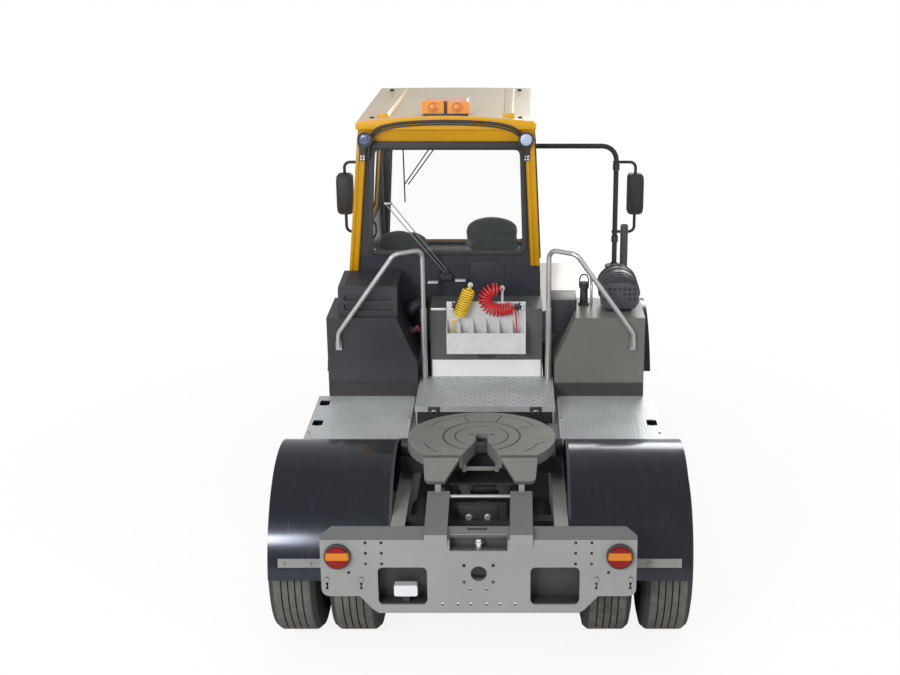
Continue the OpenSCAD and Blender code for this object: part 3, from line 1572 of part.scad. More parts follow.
// Pins between lugs on the doorway's front post, one for each knuckle
module hinge_pins() {
  lug_h = 24;
  for (z = hinge_zs) {
    translate([hinge_x, hinge_y, z - lug_h]) cylinder(d = hinge_pin_d, h = hinge_h + 2 * lug_h);
    for (l = [z - lug_h - 1, z + hinge_h + 1]) {
      translate([hinge_x, hinge_y, l]) cylinder(d = hinge_d, h = lug_h);
      block(hinge_x - hinge_d / 2, -cab_left + eps, hinge_y, hinge_y + 40, l, l + lug_h);
    }
  }
}

module door_glass() {
  inset = 14;
  color("lightcyan", 0.4) intersection() {
    slab(cab_y0, cab_y1) left_strip(inset, glass_t);
    plate(-big, 0) door_window(glass_play);
  }
}

// Columns: middle across, base of the seat, top of the backrest
seat_table = [[30, sill_z + 230, 2020], [-630, sill_z + 170, 1920]];
seat_y = cab_y0 + 430;

// Pedestal, cushion and backrest of each seat
module seats() {
  seat_w = 470;
  color("darkslategray") for (s = seat_table) {
    block(s[0] - 150, s[0] + 150, seat_y + 60, seat_y + 380, sill_z, s[1]);
    block(s[0] - seat_w / 2, s[0] + seat_w / 2, seat_y, seat_y + 470, s[1], s[1] + 130);
    slab(seat_y - 60, seat_y + 60) translate([s[0], (s[1] + s[2]) / 2])
      polygon(round_rect(430, s[2] - s[1], 110));
  }
}

// Dashboard on the front wall, with the steering column and wheel, and a console between the seats
module dashboard() {
  y1 = front_y0;
  dash_z = screen_z - 2;
  wheel_r = 180;
  wheel_x = seat_table[0][0];
  wheel = [wheel_x, y1 - 480, dash_z + 120];
  color("black") {
    plate(-cab_left + wall_t + 30, cab_right - wall_t - 30) polygon([[y1, dash_z], [y1 - 330, dash_z - 20],
      [y1 - 360, dash_z - 90], [y1 - 120, sill_z + 10], [y1 - 100, sill_z], [y1, sill_z]]);
    bar([wheel_x, y1 - 240, dash_z - 60], wheel - [0, 0, 10], 60);
    translate(wheel) rotate([45, 0, 0]) {
      rotate_extrude() translate([wheel_r, 0]) circle(d = 32);
      for (a = [90, 210, 330]) rotate([0, 0, a]) translate([0, -16, -10]) cube([wheel_r, 32, 20]);
      translate([0, 0, -25]) cylinder(d = 110, h = 45);
    }
    block(-388, -212, cab_y0 + 680, cab_y0 + 1070, sill_z, cab_waist_z - 80);
  }
}

beacon_w = 330;
beacon_x = (top_left + top_right) / 2;
work_lamp_d = 90;

// Amber light bar on the roof and two round work lamps under its rear edge
module roof_lamps() {
  top = cab_top_z + roof_t + roof_rise;
  color("orange") {
    slab(roof_rear + 20, roof_rear + 170) translate([beacon_x, top + 52]) polygon(round_rect(beacon_w, 96, 26));
    block(beacon_x - 120, beacon_x + 120, roof_rear + 40, roof_rear + 150, top, top + 12);
  }
  color("black") for (x = [top_left + 55, top_right - 55]) {
    translate([x, cab_y0 - 50, cab_top_z - 60]) rotate([90, 0, 0])
      cylinder(d1 = work_lamp_d - 24, d2 = work_lamp_d, h = 40);
    block(x - 18, x + 18, cab_y0 - 52, cab_y0, cab_top_z - 80, cab_top_z - 40);
  }
}

mirror_w = 130;
mirror_h = 330;
mirror_z = 1970;
mirror_y = cab_y0 + 1400;
mirror_x = overall_w / 2 - 8 - mirror_w / 2;
hoop_x = exhaust_x;
hoop_y = cab_y0 + 1240;
hoop_z = 2390;

// A mirror head with its back rounded
module mirror_head(x) {
  slab(mirror_y, mirror_y + 70) translate([x, mirror_z]) polygon(round_rect(mirror_w, mirror_h, 36));
}

// How far a level pipe's square end stays off a leaning wall
function stand_off(z, d, lean) = (z > cab_waist_z ? d / 2 * lean / cab_h : 0) + pin_play;

// Left mirror on a bracket arm, right mirror on an arm from the hoop
module mirrors() {
  arm_d = 24;
  y = mirror_y + 40;
  z1 = mirror_z + mirror_h / 2 + 90;
  z0 = mirror_z - mirror_h / 2 - 150;
  color("black") {
    mirror_head(-mirror_x);
    pipe([[left_at(z1) - stand_off(z1, arm_d, lean_left), y, z1], [-mirror_x, y, z1], [-mirror_x, y, z0],
      [left_at(z0) - stand_off(z0, arm_d, lean_left), y, z0]], arm_d, 45);
    mirror_head(mirror_x);
    pipe([[hoop_x, y, z1], [mirror_x, y, z1], [mirror_x, y, z0], [hoop_x, y, z0]], arm_d, 45);
    for (z = [z0, z1]) bar([hoop_x, y + arm_d / 2, z], [hoop_x, hoop_y, z], arm_d);
    pipe([[right_at(hoop_z) + stand_off(hoop_z, hoop_d, lean_right), hoop_y, hoop_z],
      [hoop_x, hoop_y, hoop_z], [hoop_x, hoop_y, cowl_z]], hoop_d, 110);
  }
}

frame_rails();
crossmembers();
rear_bumper();
pickup_ramps();
rear_lamps();
rear_mudguards();
front_mudguards();
side_brackets();
deck_plates();
fuel_tank();
battery_box();
platform();
kick_plate();
centre_panel();
hose_tray();
yellow_hose();
red_hose();
handrails();
left_cabinet();
louvred_cover();
right_cabinet();
air_cleaner();
exhaust_stack();
lift_boom();
lift_barrels();
lift_rods();
fifth_wheel_plate();
fifth_wheel_jaw();
rear_axle();
rear_left_tyres();
rear_left_rims();
rear_right_tyres();
rear_right_rims();
front_axle();
left_knuckle();
right_knuckle();
tie_rod();
front_left_tyre();
front_left_rim();
front_right_tyre();
front_right_rim();
engine_block();
engine_cowl();
grille();
front_bumper();
headlamps();
cab_steps();
cab_floor();
cab_rear_wall();
cab_side_walls();
cab_front_wall();
cab_roof();
cab_glass();
cab_door();
door_glass();
seats();
dashboard();
roof_lamps();
mirrors();
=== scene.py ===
import math

import bpy
from mathutils import Matrix, Vector


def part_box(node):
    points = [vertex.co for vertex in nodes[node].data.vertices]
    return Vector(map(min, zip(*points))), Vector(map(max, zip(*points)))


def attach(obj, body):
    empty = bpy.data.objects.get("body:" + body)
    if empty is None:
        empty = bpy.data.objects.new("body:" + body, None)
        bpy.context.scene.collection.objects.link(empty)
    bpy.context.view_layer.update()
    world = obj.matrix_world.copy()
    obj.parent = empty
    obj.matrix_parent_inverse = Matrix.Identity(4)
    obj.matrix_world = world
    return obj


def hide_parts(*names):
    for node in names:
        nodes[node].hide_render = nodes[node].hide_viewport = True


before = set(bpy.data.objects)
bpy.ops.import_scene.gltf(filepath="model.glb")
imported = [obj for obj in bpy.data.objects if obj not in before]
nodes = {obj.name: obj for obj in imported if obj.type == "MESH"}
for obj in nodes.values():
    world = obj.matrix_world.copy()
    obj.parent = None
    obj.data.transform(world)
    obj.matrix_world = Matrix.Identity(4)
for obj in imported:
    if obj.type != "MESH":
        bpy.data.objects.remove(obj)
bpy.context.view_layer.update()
print("frame loaded,", len(nodes), "nodes")

# Camera
view = {"place": (0.2, -9.4, 4.368), "tilt": 18.1, "focal": 56.0, "sensor": 36.0, "shift": -65 / 900}

bpy.ops.object.camera_add(location=view["place"], rotation=(math.radians(90 - view["tilt"]), 0, 0))
camera = bpy.context.object
camera.data.lens = view["focal"]
camera.data.sensor_width = view["sensor"]
camera.data.shift_x = view["shift"]
bpy.context.scene.camera = camera
bpy.context.scene.view_settings.view_transform = "Standard"


class Wire:  # a socket of a material's nodes, used like a number
    def __init__(self, tree, socket):
        self.tree = tree
        self.socket = socket

    def node(self, kind, settings=None, out=0, **inputs):  # any node: settings first, then its sockets
        made = self.tree.nodes.new("ShaderNode" + kind)
        for key, value in (settings or {}).items():
            setattr(made, key, value)
        for key, value in inputs.items():
            socket = made.inputs[int(key[1:])] if key[1:].isdigit() else made.inputs[key]
            if isinstance(value, Wire):
                self.tree.links.new(value.socket, socket)
            else:
                socket.default_value = value
        return Wire(self.tree, made.outputs[out])

    def maths(self, operation, a, b=0.0):
        return self.node("Math", {"operation": operation}, s0=a, s1=b)

    def __add__(self, other):
        return self.maths("ADD", self, other)

    def __radd__(self, other):
        return self.maths("ADD", other, self)

    def __sub__(self, other):
        return self.maths("SUBTRACT", self, other)

    def __rsub__(self, other):
        return self.maths("SUBTRACT", other, self)

    def __mul__(self, other):
        return self.maths("MULTIPLY", self, other)

    def __rmul__(self, other):
        return self.maths("MULTIPLY", other, self)

    def __pow__(self, other):
        return self.maths("POWER", self, other)

    def axis(self, index):
        return self.node("SeparateXYZ", out=index, Vector=self)

    def step(self, low, high):  # 0 below low, 1 above high, smooth between
        return self.node("MapRange", {"interpolation_type": "SMOOTHSTEP"}, s0=self, s1=low, s2=high)

    def between(self, low, high, soft):
        return self.step(low - soft, low + soft) * (1 - self.step(high - soft, high + soft))

    def scaled(self, x, y, z):
        return self.node("Mapping", Vector=self, Scale=(x, y, z))

    def noise(self, scale, detail=3.0, rough=0.55):
        return self.node("TexNoise", Vector=self, Scale=scale, Detail=detail, Roughness=rough)

    def cells(self, scale, out=0):
        return self.node("TexVoronoi", out=out, Vector=self, Scale=scale)

    def waves(self, scale, direction):
        return self.node("TexWave", {"bands_direction": direction}, out=1, Vector=self, Scale=scale)

    def blend(self, first, second):  # two colours, mixed by this mask
        return self.node("Mix", {"data_type": "RGBA"}, out=2, s0=self, s6=rgba(first), s7=rgba(second))

    def bump(self, strength, distance):
        return self.node("Bump", Height=self, Strength=strength, Distance=distance)


def rgba(colour):
    return colour if isinstance(colour, Wire) or len(colour) == 4 else (*colour, 1)


def newFinish(name, **fixed):  # Principled shader, with the values that are the same all over
    finish = bpy.data.materials.new(name)
    finish.use_nodes = True
    shader = finish.node_tree.nodes["Principled BSDF"]
    for key, value in fixed.items():
        words = {"rough": "Roughness", "metal": "Metallic", "coat": "Coat Weight", "coatRough": "Coat Roughness",
                 "sheen": "Sheen Weight", "glow": "Emission Strength", "level": "Specular IOR Level"}
        shader.inputs[words[key]].default_value = value
    place = Wire(finish.node_tree, finish.node_tree.nodes.new("ShaderNodeTexCoord").outputs["Object"])
    return finish, shader, place


def feed(shader, **wires):
    words = {"colour": "Base Color", "rough": "Roughness", "metal": "Metallic", "normal": "Normal",
             "alpha": "Alpha", "coat": "Coat Weight", "glow": "Emission Color"}
    for key, wire in wires.items():
        socket = shader.inputs[words[key]]
        if isinstance(wire, Wire):
            wire.tree.links.new(wire.socket, socket)
        else:
            socket.default_value = rgba(wire) if key in ("colour", "glow") else wire


def dustOf(place, low=0.3, high=1.6):  # more dust low down and in broad patches
    patches = place.noise(1.7, 5.0, 0.6).step(0.36, 0.72)
    specks = place.noise(38.0, 4.0, 0.7).step(0.42, 0.78)
    height = 1 - place.axis(2).step(low, high)
    return patches * 0.55 + specks * 0.25 + height * 0.2


def facingUp(place, low, high):
    return place.node("NewGeometry", out=1).axis(2).step(low, high)


def paint(name, colour, rough=0.42, coat=0.0, dust=0.14, dustColour=(0.30, 0.28, 0.24), dark=None):
    finish, shader, place = newFinish(name, coat=coat, coatRough=0.08)
    cover = dustOf(place) * dust
    tone = place.noise(0.9, 2.0).step(0.3, 0.7)
    deep = tuple(c * 0.88 for c in colour)
    shown = cover.blend(tone.blend(deep, colour), dustColour)
    if dark:
        # painted shade: near-black where the mask is high
        shown = dark(place).blend(shown, (0.010, 0.010, 0.011))
    scuffs = place.scaled(1, 1, 14).noise(9.0, 4.0, 0.7).step(0.62, 0.8)
    feed(shader, colour=shown, rough=rough + cover * 0.5 + scuffs * 0.06)
    feed(shader, normal=place.noise(260.0, 2.0).bump(0.03, 0.001))
    return finish


def plastic(name, colour, rough=0.55, grain=420.0, depth=0.12):
    finish, shader, place = newFinish(name)
    cover = dustOf(place) * 0.12
    feed(shader, colour=cover.blend(colour, (0.2, 0.19, 0.17)), rough=rough + cover)
    feed(shader, normal=place.cells(grain).bump(depth, 0.0006))
    return finish


def bareMetal(name, colour, rough=0.34, spangle=0.0, streak=0.0, metal=0.88, dark=None, grid=0.0):
    finish, shader, place = newFinish(name, metal=metal)
    flakes = place.cells(62.0, out=1).node("SeparateColor", Color=place.cells(62.0, out=1))
    cloud = place.noise(3.2, 5.0).step(0.3, 0.75)
    lines = place.scaled(60, 2, 2).noise(7.0, 3.0)
    dull = tuple(c * 0.62 for c in colour)
    mask = cloud * (0.45 - 0.2 * spangle) + flakes * spangle + lines * streak
    if grid:  # fine rows of treads, drawn as painted shade: dark lines between the raised bars
        mask = mask + place.waves(15.7, "X").step(0.55, 0.95) * grid
        mask = mask + place.waves(8.5, "Y").step(0.7, 0.95) * (0.6 * grid)
    shown = mask.blend(colour, dull)
    if dark:
        # painted shade: near-black where the mask is high
        shown = dark(place).blend(shown, (0.006, 0.006, 0.006))
    feed(shader, colour=shown, rough=rough + flakes * (0.25 * spangle) + lines * 0.12)
    feed(shader, normal=place.noise(180.0, 3.0).bump(0.05, 0.0008))
    return finish


def castMetal(name, colour, rough=0.55, dark=None):
    finish, shader, place = newFinish(name, level=0.4)
    cover = dustOf(place) * 0.3
    pits = place.noise(140.0, 4.0, 0.7)
    worn = place.noise(6.0, 5.0, 0.65).step(0.55, 0.75)
    shown = cover.blend(worn.blend(colour, tuple(c * 1.25 for c in colour)), (0.24, 0.22, 0.19))
    if dark:
        # painted shade: near-black where the mask is high
        shown = dark(place).blend(shown, (0.012, 0.012, 0.012))
    feed(shader, colour=shown, rough=rough + cover * 0.3 - worn * 0.1, normal=pits.bump(0.12, 0.0015))
    return finish


def clearLens(name, colour, rough=0.12, glow=0.0, ribs=90.0):
    finish, shader, place = newFinish(name, rough=rough, coat=0.8, coatRough=0.03, glow=glow)
    facets = place.waves(ribs, "X") * 0.5 + place.waves(ribs, "Z") * 0.5
    shade = tuple(c * 0.45 for c in colour)
    feed(shader, colour=facets.blend(shade, colour), glow=colour, normal=facets.bump(0.35, 0.002))
    return finish


def pane(name, tint, alpha):
    finish, shader, place = newFinish(name, rough=0.03, coat=0.4)
    haze = place.noise(2.6, 4.0).step(0.45, 0.8)
    feed(shader, colour=haze.blend(tint, (0.85, 0.87, 0.86)), alpha=alpha + haze * 0.008)
    return finish


def bumperShade(place):  # painted shade inside the cut-outs and the notch; darker on the upward-facing folded top
    x, y, z = [place.axis(i) for i in range(3)]
    behind = y.step(-2.459, -2.450)
    cutOuts = behind * (1 - z.step(0.845, 0.855)) * 0.9
    notch = behind * (x * x).step(0.0262, 0.0250) * z.between(0.86, 0.951, 0.002) * 0.75
    return (cutOuts + notch).maths("MAXIMUM", cutOuts + notch, facingUp(place, 0.6, 0.9) * 0.58)


def grooveShade(place):  # painted shade on the floor of the grooves in the fifth wheel's top
    z = place.axis(2)
    return facingUp(place, 0.5, 0.7) * z.between(1.189, 1.198, 0.0006) * 0.7


def plinthShade(share):  # painted shade low on the cabinets, at their feet
    return lambda place: share - share * place.axis(2).step(1.051, 1.055)


def cupShade(place):  # painted shade inside the deck's hand-holes
    return 1 - place.axis(2).step(0.9485, 0.9495)


print("finishes begin")
steel = {"bumper": (0.222, 0.232, 0.226), "frame": (0.20, 0.205, 0.196), "fifth": (0.125, 0.130, 0.122)}
bumperPaint = paint("bumper_paint", steel["bumper"], 0.46, dust=0.18, dustColour=(0.36, 0.35, 0.31),
                    dark=bumperShade)
framePaint = paint("frame_paint", steel["frame"], 0.5, dust=0.35)
# near-black paint, darkened further as painted shade under the vehicle
darkPaint = paint("dark_paint", (0.016, 0.0165, 0.018), 0.5, dust=0.12, dustColour=(0.12, 0.11, 0.10))
cabinetDark = paint("cabinet_dark", (0.021, 0.0225, 0.027), 0.38, dust=0.1, dustColour=(0.09, 0.09, 0.09),
                    dark=plinthShade(0.5))
cabinetWarm = paint("cabinet_warm", (0.135, 0.136, 0.120), 0.38, dust=0.1, dark=plinthShade(0.8))
panelPaint = paint("panel_paint", (0.074, 0.080, 0.077), 0.44, dust=0.12)
creamPaint = paint("cream_paint", (0.80, 0.81, 0.80), 0.4, dust=0.12)
cowlPaint = paint("cowl_paint", (0.46, 0.455, 0.40), 0.35, coat=0.2, dust=0.12)
rimPaint = paint("rim_paint", (0.50, 0.51, 0.51), 0.4, dust=0.25)
fifthCast = castMetal("fifth_cast", steel["fifth"], dark=grooveShade)
axleCast = castMetal("axle_cast", (0.02, 0.02, 0.022))
pipeDark = castMetal("pipe_dark", (0.05, 0.05, 0.052), 0.45)
galvanised = bareMetal("galvanised", (0.76, 0.76, 0.76), 0.42, spangle=0.3, metal=0.4)
railMetal = bareMetal("rail_metal", (0.60, 0.61, 0.62), 0.3, streak=0.15)
treadMetal = bareMetal("tread_metal", (0.54, 0.56, 0.57), 0.42, streak=0.25, metal=0.6)
deckMetal = bareMetal("deck_metal", (0.74, 0.77, 0.79), 0.42, streak=0.25, metal=0.6, dark=cupShade, grid=0.55)
wiperMetal = bareMetal("wiper_metal", (0.34, 0.35, 0.36), 0.3)
isolatorRed = paint("isolator_red", (0.30, 0.010, 0.012), 0.4)
zinc = bareMetal("zinc_bolts", (0.55, 0.55, 0.53), 0.35)
chrome = bareMetal("chrome_rods", (0.78, 0.79, 0.8), 0.12)
blackPlastic = plastic("black_plastic", (0.022, 0.023, 0.026))
coverPlastic = plastic("cover_plastic", (0.019, 0.021, 0.028), 0.38)
# matte black, also on the mirror glass, where it is a painted dark reflection
mirrorBlack = plastic("mirror_black", (0.007, 0.007, 0.008), 0.5)
facePlastic = plastic("face_plastic", (0.050, 0.053, 0.066), 0.45)
sealRubber = plastic("seal_rubber", (0.018, 0.019, 0.02), 0.6, 700.0)
dashPlastic = plastic("dash_plastic", (0.06, 0.063, 0.066), 0.6)
amberLens = clearLens("amber_lens", (0.72, 0.21, 0.012), glow=0.05)
whiteLens = clearLens("white_lens", (0.92, 0.94, 0.96), 0.08, glow=0.2, ribs=40.0)
headLens = clearLens("head_lens", (0.52, 0.55, 0.58), 0.06, glow=0.04, ribs=26.0)
# painted reflections: the two work-lamp lenses are alike, drawn dark blue on the left and pale with a slight glow on
# the right
blueLens = clearLens("blue_lens", (0.085, 0.10, 0.21), 0.06, ribs=30.0)
paleLens = clearLens("pale_lens", (0.50, 0.58, 0.78), 0.06, glow=0.06, ribs=30.0)


def tailLamp():  # red lenses with an amber band, and a white work lamp low down
    finish, shader, place = newFinish("tail_lens", rough=0.25, coat=0.12, coatRough=0.03, glow=0.03, level=0.2)
    facets = place.waves(90.0, "X") * 0.5 + place.waves(90.0, "Z") * 0.5
    high = place.axis(2).step(0.70, 0.71)
    glassy = place.axis(2).step(0.584, 0.588)
    low = glassy.blend((0.03, 0.03, 0.03), facets.blend((0.34, 0.36, 0.37), (0.80, 0.81, 0.82)))
    red = facets.blend((0.11, 0.001, 0.001), (0.27, 0.002, 0.002))
    band = place.axis(2).step(0.827, 0.828) * (1.0 - place.axis(2).step(0.871, 0.872))
    colour = high.blend(low, band.blend(red, facets.blend((0.34, 0.11, 0.008), (0.66, 0.21, 0.014))))
    feed(shader, colour=colour, glow=colour, normal=facets.bump(0.35, 0.002))
    return finish


tailLens = tailLamp()
windowGlass = pane("window_glass", (0.55, 0.62, 0.6), 0.016)


def beaconLens():  # amber bar on a dark foot, and dark cases of the round lamps
    finish, shader, place = newFinish("beacon_lens", rough=0.12, coat=0.8, coatRough=0.03, glow=0.08)
    facets = place.waves(46.0, "X") * 0.6 + place.waves(70.0, "Z") * 0.4
    clear = facets.blend((0.42, 0.10, 0.004), (0.92, 0.34, 0.02))
    colour = place.axis(2).step(2.838, 2.842).blend((0.02, 0.018, 0.016), clear)
    feed(shader, colour=colour, glow=colour, normal=facets.bump(0.3, 0.002))
    return finish


barLens = beaconLens()


def gloss(name):  # black moulding with fine sweeping scratches; the bluish tint of the black is a painted sheen
    finish, shader, place = newFinish(name, coat=0.35, coatRough=0.14, level=0.35)
    shader.inputs["Specular Tint"].default_value = (0.72, 0.79, 1.0, 1)
    shader.inputs["Coat Tint"].default_value = (0.80, 0.86, 1.0, 1)
    swirl = place.scaled(6, 1, 1).noise(5.0, 5.0, 0.7).step(0.5, 0.78)
    cover = dustOf(place, 0.5, 1.15) * 0.04
    base = swirl.blend((0.005, 0.0055, 0.0075), (0.012, 0.013, 0.019))
    feed(shader, colour=cover.blend(base, (0.16, 0.15, 0.14)), rough=0.22 + swirl * 0.08 + cover * 0.5)
    feed(shader, normal=place.noise(2.4, 3.0).bump(0.12, 0.02))
    return finish


mudguardBlack = gloss("mudguard_black")


def cabPaint(name, rear):  # golden gloss, charcoal below the brow on the rear wall
    finish, shader, place = newFinish(name, coat=0.08, coatRough=0.06, level=0.18)
    tone = place.noise(1.1, 3.0).step(0.3, 0.7)
    gold = tone.blend((0.47, 0.232, 0.001), (0.555, 0.283, 0.002))
    cover = dustOf(place, 1.2, 2.2) * 0.04
    shown = cover.blend(gold, (0.45, 0.34, 0.12))
    x, y, z = [place.axis(i) for i in range(3)]
    share = place.node("MapRange", s0=z, s1=1.7, s2=2.735)
    glazed = place.node("MapRange", s0=z, s1=1.4, s2=2.735)
    inside = (x + 0.98 - share * 0.095).step(0.016, 0.024) * (0.38 - x - share * 0.048).step(0.016, 0.024)
    inside = inside * (2.31 - y - glazed * 0.19).step(0.016, 0.024) * y.step(0.262, 0.274)
    shown = inside.blend(shown, (0.03, 0.031, 0.033))  # dark trim on the inner faces
    if rear:
        top = place.axis(2).step(2.642, 2.65)
        shown = top.blend((0.034, 0.037, 0.045), shown)
    feed(shader, colour=shown, rough=0.3 + cover * 0.8)
    feed(shader, normal=place.noise(300.0, 2.0).bump(0.02, 0.0008))
    return finish


cabGold = cabPaint("cab_gold", False)
cabRear = cabPaint("cab_rear", True)


def roofPaint():  # gold rim and a paler, sun-bleached top
    finish, shader, place = newFinish("roof_paint", coat=0.2, coatRough=0.1, level=0.3)
    up = place.node("NewGeometry", out=1).axis(2).step(0.75, 0.95)
    fade = up * (0.72 + place.noise(1.4, 4.0) * 0.3)
    feed(shader, colour=fade.blend((0.60, 0.30, 0.004), (0.46, 0.415, 0.32)))
    feed(shader, rough=0.32 + place.noise(30.0, 3.0) * 0.1)
    return finish


cabTop = roofPaint()


def tyreRubber(name, axleY, axleZ, treadR):  # dusty tread, darker grooves and walls
    finish, shader, place = newFinish(name, level=0.35)
    y = place.axis(1) - axleY
    z = place.axis(2) - axleZ
    radius = (y * y + z * z) ** 0.5
    onTread = radius.step(treadR - 0.006, treadR - 0.001)
    patches = place.noise(14.0, 5.0, 0.65).step(0.25, 0.75)
    dusty = patches.blend((0.066, 0.064, 0.058), (0.125, 0.121, 0.108))
    wall = place.noise(9.0, 4.0).blend((0.022, 0.022, 0.022), (0.045, 0.043, 0.04))
    feed(shader, colour=onTread.blend(wall, dusty), rough=0.78 + patches * 0.12)
    feed(shader, normal=place.noise(190.0, 4.0, 0.7).bump(0.25, 0.0015))
    return finish


def hoseSkin(name, colour):
    finish, shader, place = newFinish(name, coat=0.5, coatRough=0.15)
    tone = place.noise(22.0, 3.0).step(0.3, 0.7)
    feed(shader, colour=tone.blend(tuple(c * 0.75 for c in colour), colour), rough=0.3 + tone * 0.1)
    return finish


def cloth(name, colour):  # woven seat cloth
    finish, shader, place = newFinish(name, sheen=0.3, rough=0.85)
    weave = place.waves(330.0, "X") * 0.5 + place.waves(330.0, "Z") * 0.5
    fuzz = place.noise(16.0, 4.0).step(0.3, 0.7)
    feed(shader, colour=fuzz.blend(colour, tuple(c * 1.6 for c in colour)), normal=weave.bump(0.4, 0.001))
    return finish


seatCloth = cloth("seat_cloth", (0.017, 0.021, 0.021))
yellowSkin = hoseSkin("hose_yellow", (0.85, 0.55, 0.01))
redSkin = hoseSkin("hose_red", (0.62, 0.012, 0.014))


# Modelling helpers, all by operators
def deselect():
    if bpy.context.object and bpy.context.object.mode != "OBJECT":
        bpy.ops.object.mode_set(mode="OBJECT")
    bpy.ops.object.select_all(action="DESELECT")


def choose(piece):
    deselect()
    piece.select_set(True)
    bpy.context.view_layer.objects.active = piece
    return piece


def settle(name):  # place goes into the mesh, the object stays at the origin
    piece = bpy.context.object
    choose(piece)
    bpy.ops.object.transform_apply(location=True, rotation=True, scale=True)
    piece.name = name
    piece.data.name = name
    return piece


def modify(piece, kind, **settings):
    choose(piece)
    step = piece.modifiers.new(kind.lower(), kind)
    for key, value in settings.items():
        setattr(step, key, value)
    bpy.ops.object.modifier_apply(modifier=step.name)
    return piece


sharp = 35  # edges above this angle, in degrees, stay edges


def smooth(piece, angle=sharp):
    choose(piece)
    bpy.ops.object.shade_smooth_by_angle(angle=math.radians(angle))
    return piece


def soften(piece, width, segments=2):  # rounded edges, smooth faces
    modify(piece, "BEVEL", width=width, segments=segments, limit_method="ANGLE", angle_limit=math.radians(sharp))
    return smooth(piece)


def discard(piece):
    choose(piece)
    bpy.ops.object.delete()


def editAll():  # edit mode, with everything selected
    bpy.ops.object.mode_set(mode="EDIT")
    bpy.ops.mesh.select_all(action="SELECT")


def closeEdit():  # faces turned outward, back to object mode
    bpy.ops.mesh.select_all(action="SELECT")
    bpy.ops.mesh.normals_make_consistent(inside=False)
    bpy.ops.object.mode_set(mode="OBJECT")


def addBox(name, low, high, width=0.003, segments=2):
    deselect()
    low, high = Vector(low), Vector(high)
    bpy.ops.mesh.primitive_cube_add(size=1, location=(low + high) / 2, scale=high - low)
    piece = settle(name)
    return soften(piece, width, segments) if width else piece


def addDrum(name, start, end, radius, sides=32, width=0.002, endRadius=None):
    deselect()
    start, end = Vector(start), Vector(end)
    way = end - start
    turn = way.to_track_quat("Z", "Y").to_euler()
    far = radius if endRadius is None else endRadius
    bpy.ops.mesh.primitive_cone_add(vertices=sides, radius1=radius, radius2=far, depth=way.length,
                                    location=(start + end) / 2, rotation=turn)
    piece = settle(name)
    return soften(piece, width) if width else smooth(piece)


def drawLine(name, points, close=False):  # a chain of vertices, extruded one by one
    deselect()
    bpy.ops.mesh.primitive_plane_add(size=0.01, location=points[0])
    bpy.ops.object.mode_set(mode="EDIT")
    bpy.ops.mesh.merge(type="CENTER")
    for a, b in zip(points, points[1:]):
        bpy.ops.mesh.extrude_region_move(TRANSFORM_OT_translate={"value": Vector(b) - Vector(a)})
    if close:
        bpy.ops.mesh.select_all(action="SELECT")
        bpy.ops.mesh.edge_face_add()
    bpy.ops.object.mode_set(mode="OBJECT")
    return settle(name)


def drawPlate(name, points, push, width=0.002, segments=2):  # a closed outline, pushed into a plate
    piece = drawLine(name, points, close=True)
    editAll()
    bpy.ops.mesh.extrude_region_move(TRANSFORM_OT_translate={"value": Vector(push)})
    closeEdit()
    return soften(piece, width, segments) if width else piece


def spinLine(name, points, centre, axis, steps=64, angle=35):  # a profile, turned about an axis
    piece = drawLine(name, points)
    editAll()
    bpy.ops.mesh.spin(steps=steps, angle=2 * math.pi, center=centre, axis=axis)
    bpy.ops.mesh.select_all(action="SELECT")
    bpy.ops.mesh.remove_doubles(threshold=0.00005)
    closeEdit()
    return smooth(piece, angle)


def turned(name, centre, profile, steps):  # a round piece that faces along Y, from depths and radii
    return spinLine(name, [centre + Vector((0, y, r)) for y, r in profile], centre, (0, 1, 0), steps)


def upright(x, y, z):  # corners of a plate that faces the rear
    return [(x[0], y, z[0]), (x[1], y, z[0]), (x[1], y, z[1]), (x[0], y, z[1])]


def roundCorners(corners, radius, steps=5):  # corners of a flat outline, each cut to a round one
    count = len(corners)
    points = []
    for i, corner in enumerate(corners):
        here = Vector(corner)
        back = (Vector(corners[i - 1]) - here).normalized()
        ahead = (Vector(corners[(i + 1) % count]) - here).normalized()
        for k in range(steps + 1):
            t = k / steps
            points.append(here + back * radius * (1 - t) ** 2 + ahead * radius * t ** 2)
    return points


def addRing(name, corners, radius, width, thick, push):  # a frame of one width round an opening
    piece = drawLine(name, roundCorners(corners, radius), close=True)
    editAll()
    bpy.ops.mesh.inset(thickness=width, use_boundary=True)
    bpy.ops.mesh.delete(type="FACE")
    bpy.ops.mesh.select_all(action="SELECT")
    bpy.ops.mesh.extrude_region_move(TRANSFORM_OT_translate={"value": Vector(push).normalized() * thick})
    closeEdit()
    return soften(piece, min(0.003, thick / 3))


def drawPath(name, points, radius, curved, sides=3):  # a tube along a path, kept as a curve
    deselect()
    bpy.ops.curve.primitive_nurbs_path_add()
    curve = bpy.context.object
    spline = curve.data.splines[0]
    spline.points.add(max(0, len(points) - len(spline.points)))
    spline.type = "NURBS" if curved else "POLY"
    for point, place in zip(spline.points, points):
        point.co = (*place, 1)
    spline.order_u = 4
    spline.use_endpoint_u = True
    spline.resolution_u = 6
    curve.data.bevel_depth = radius
    curve.data.bevel_resolution = sides
    curve.data.use_fill_caps = True
    curve.name = name
    curve.data.name = name
    return curve


def addTube(name, points, radius, sides=3):  # five points or more
    choose(drawPath(name, points, radius, True, sides))
    bpy.ops.object.convert(target="MESH")
    return smooth(settle(name), 50)


def copyOf(piece, matrix):
    twin = piece.copy()
    twin.data = piece.data.copy()
    twin.data.transform(matrix)
    bpy.context.scene.collection.objects.link(twin)
    return twin


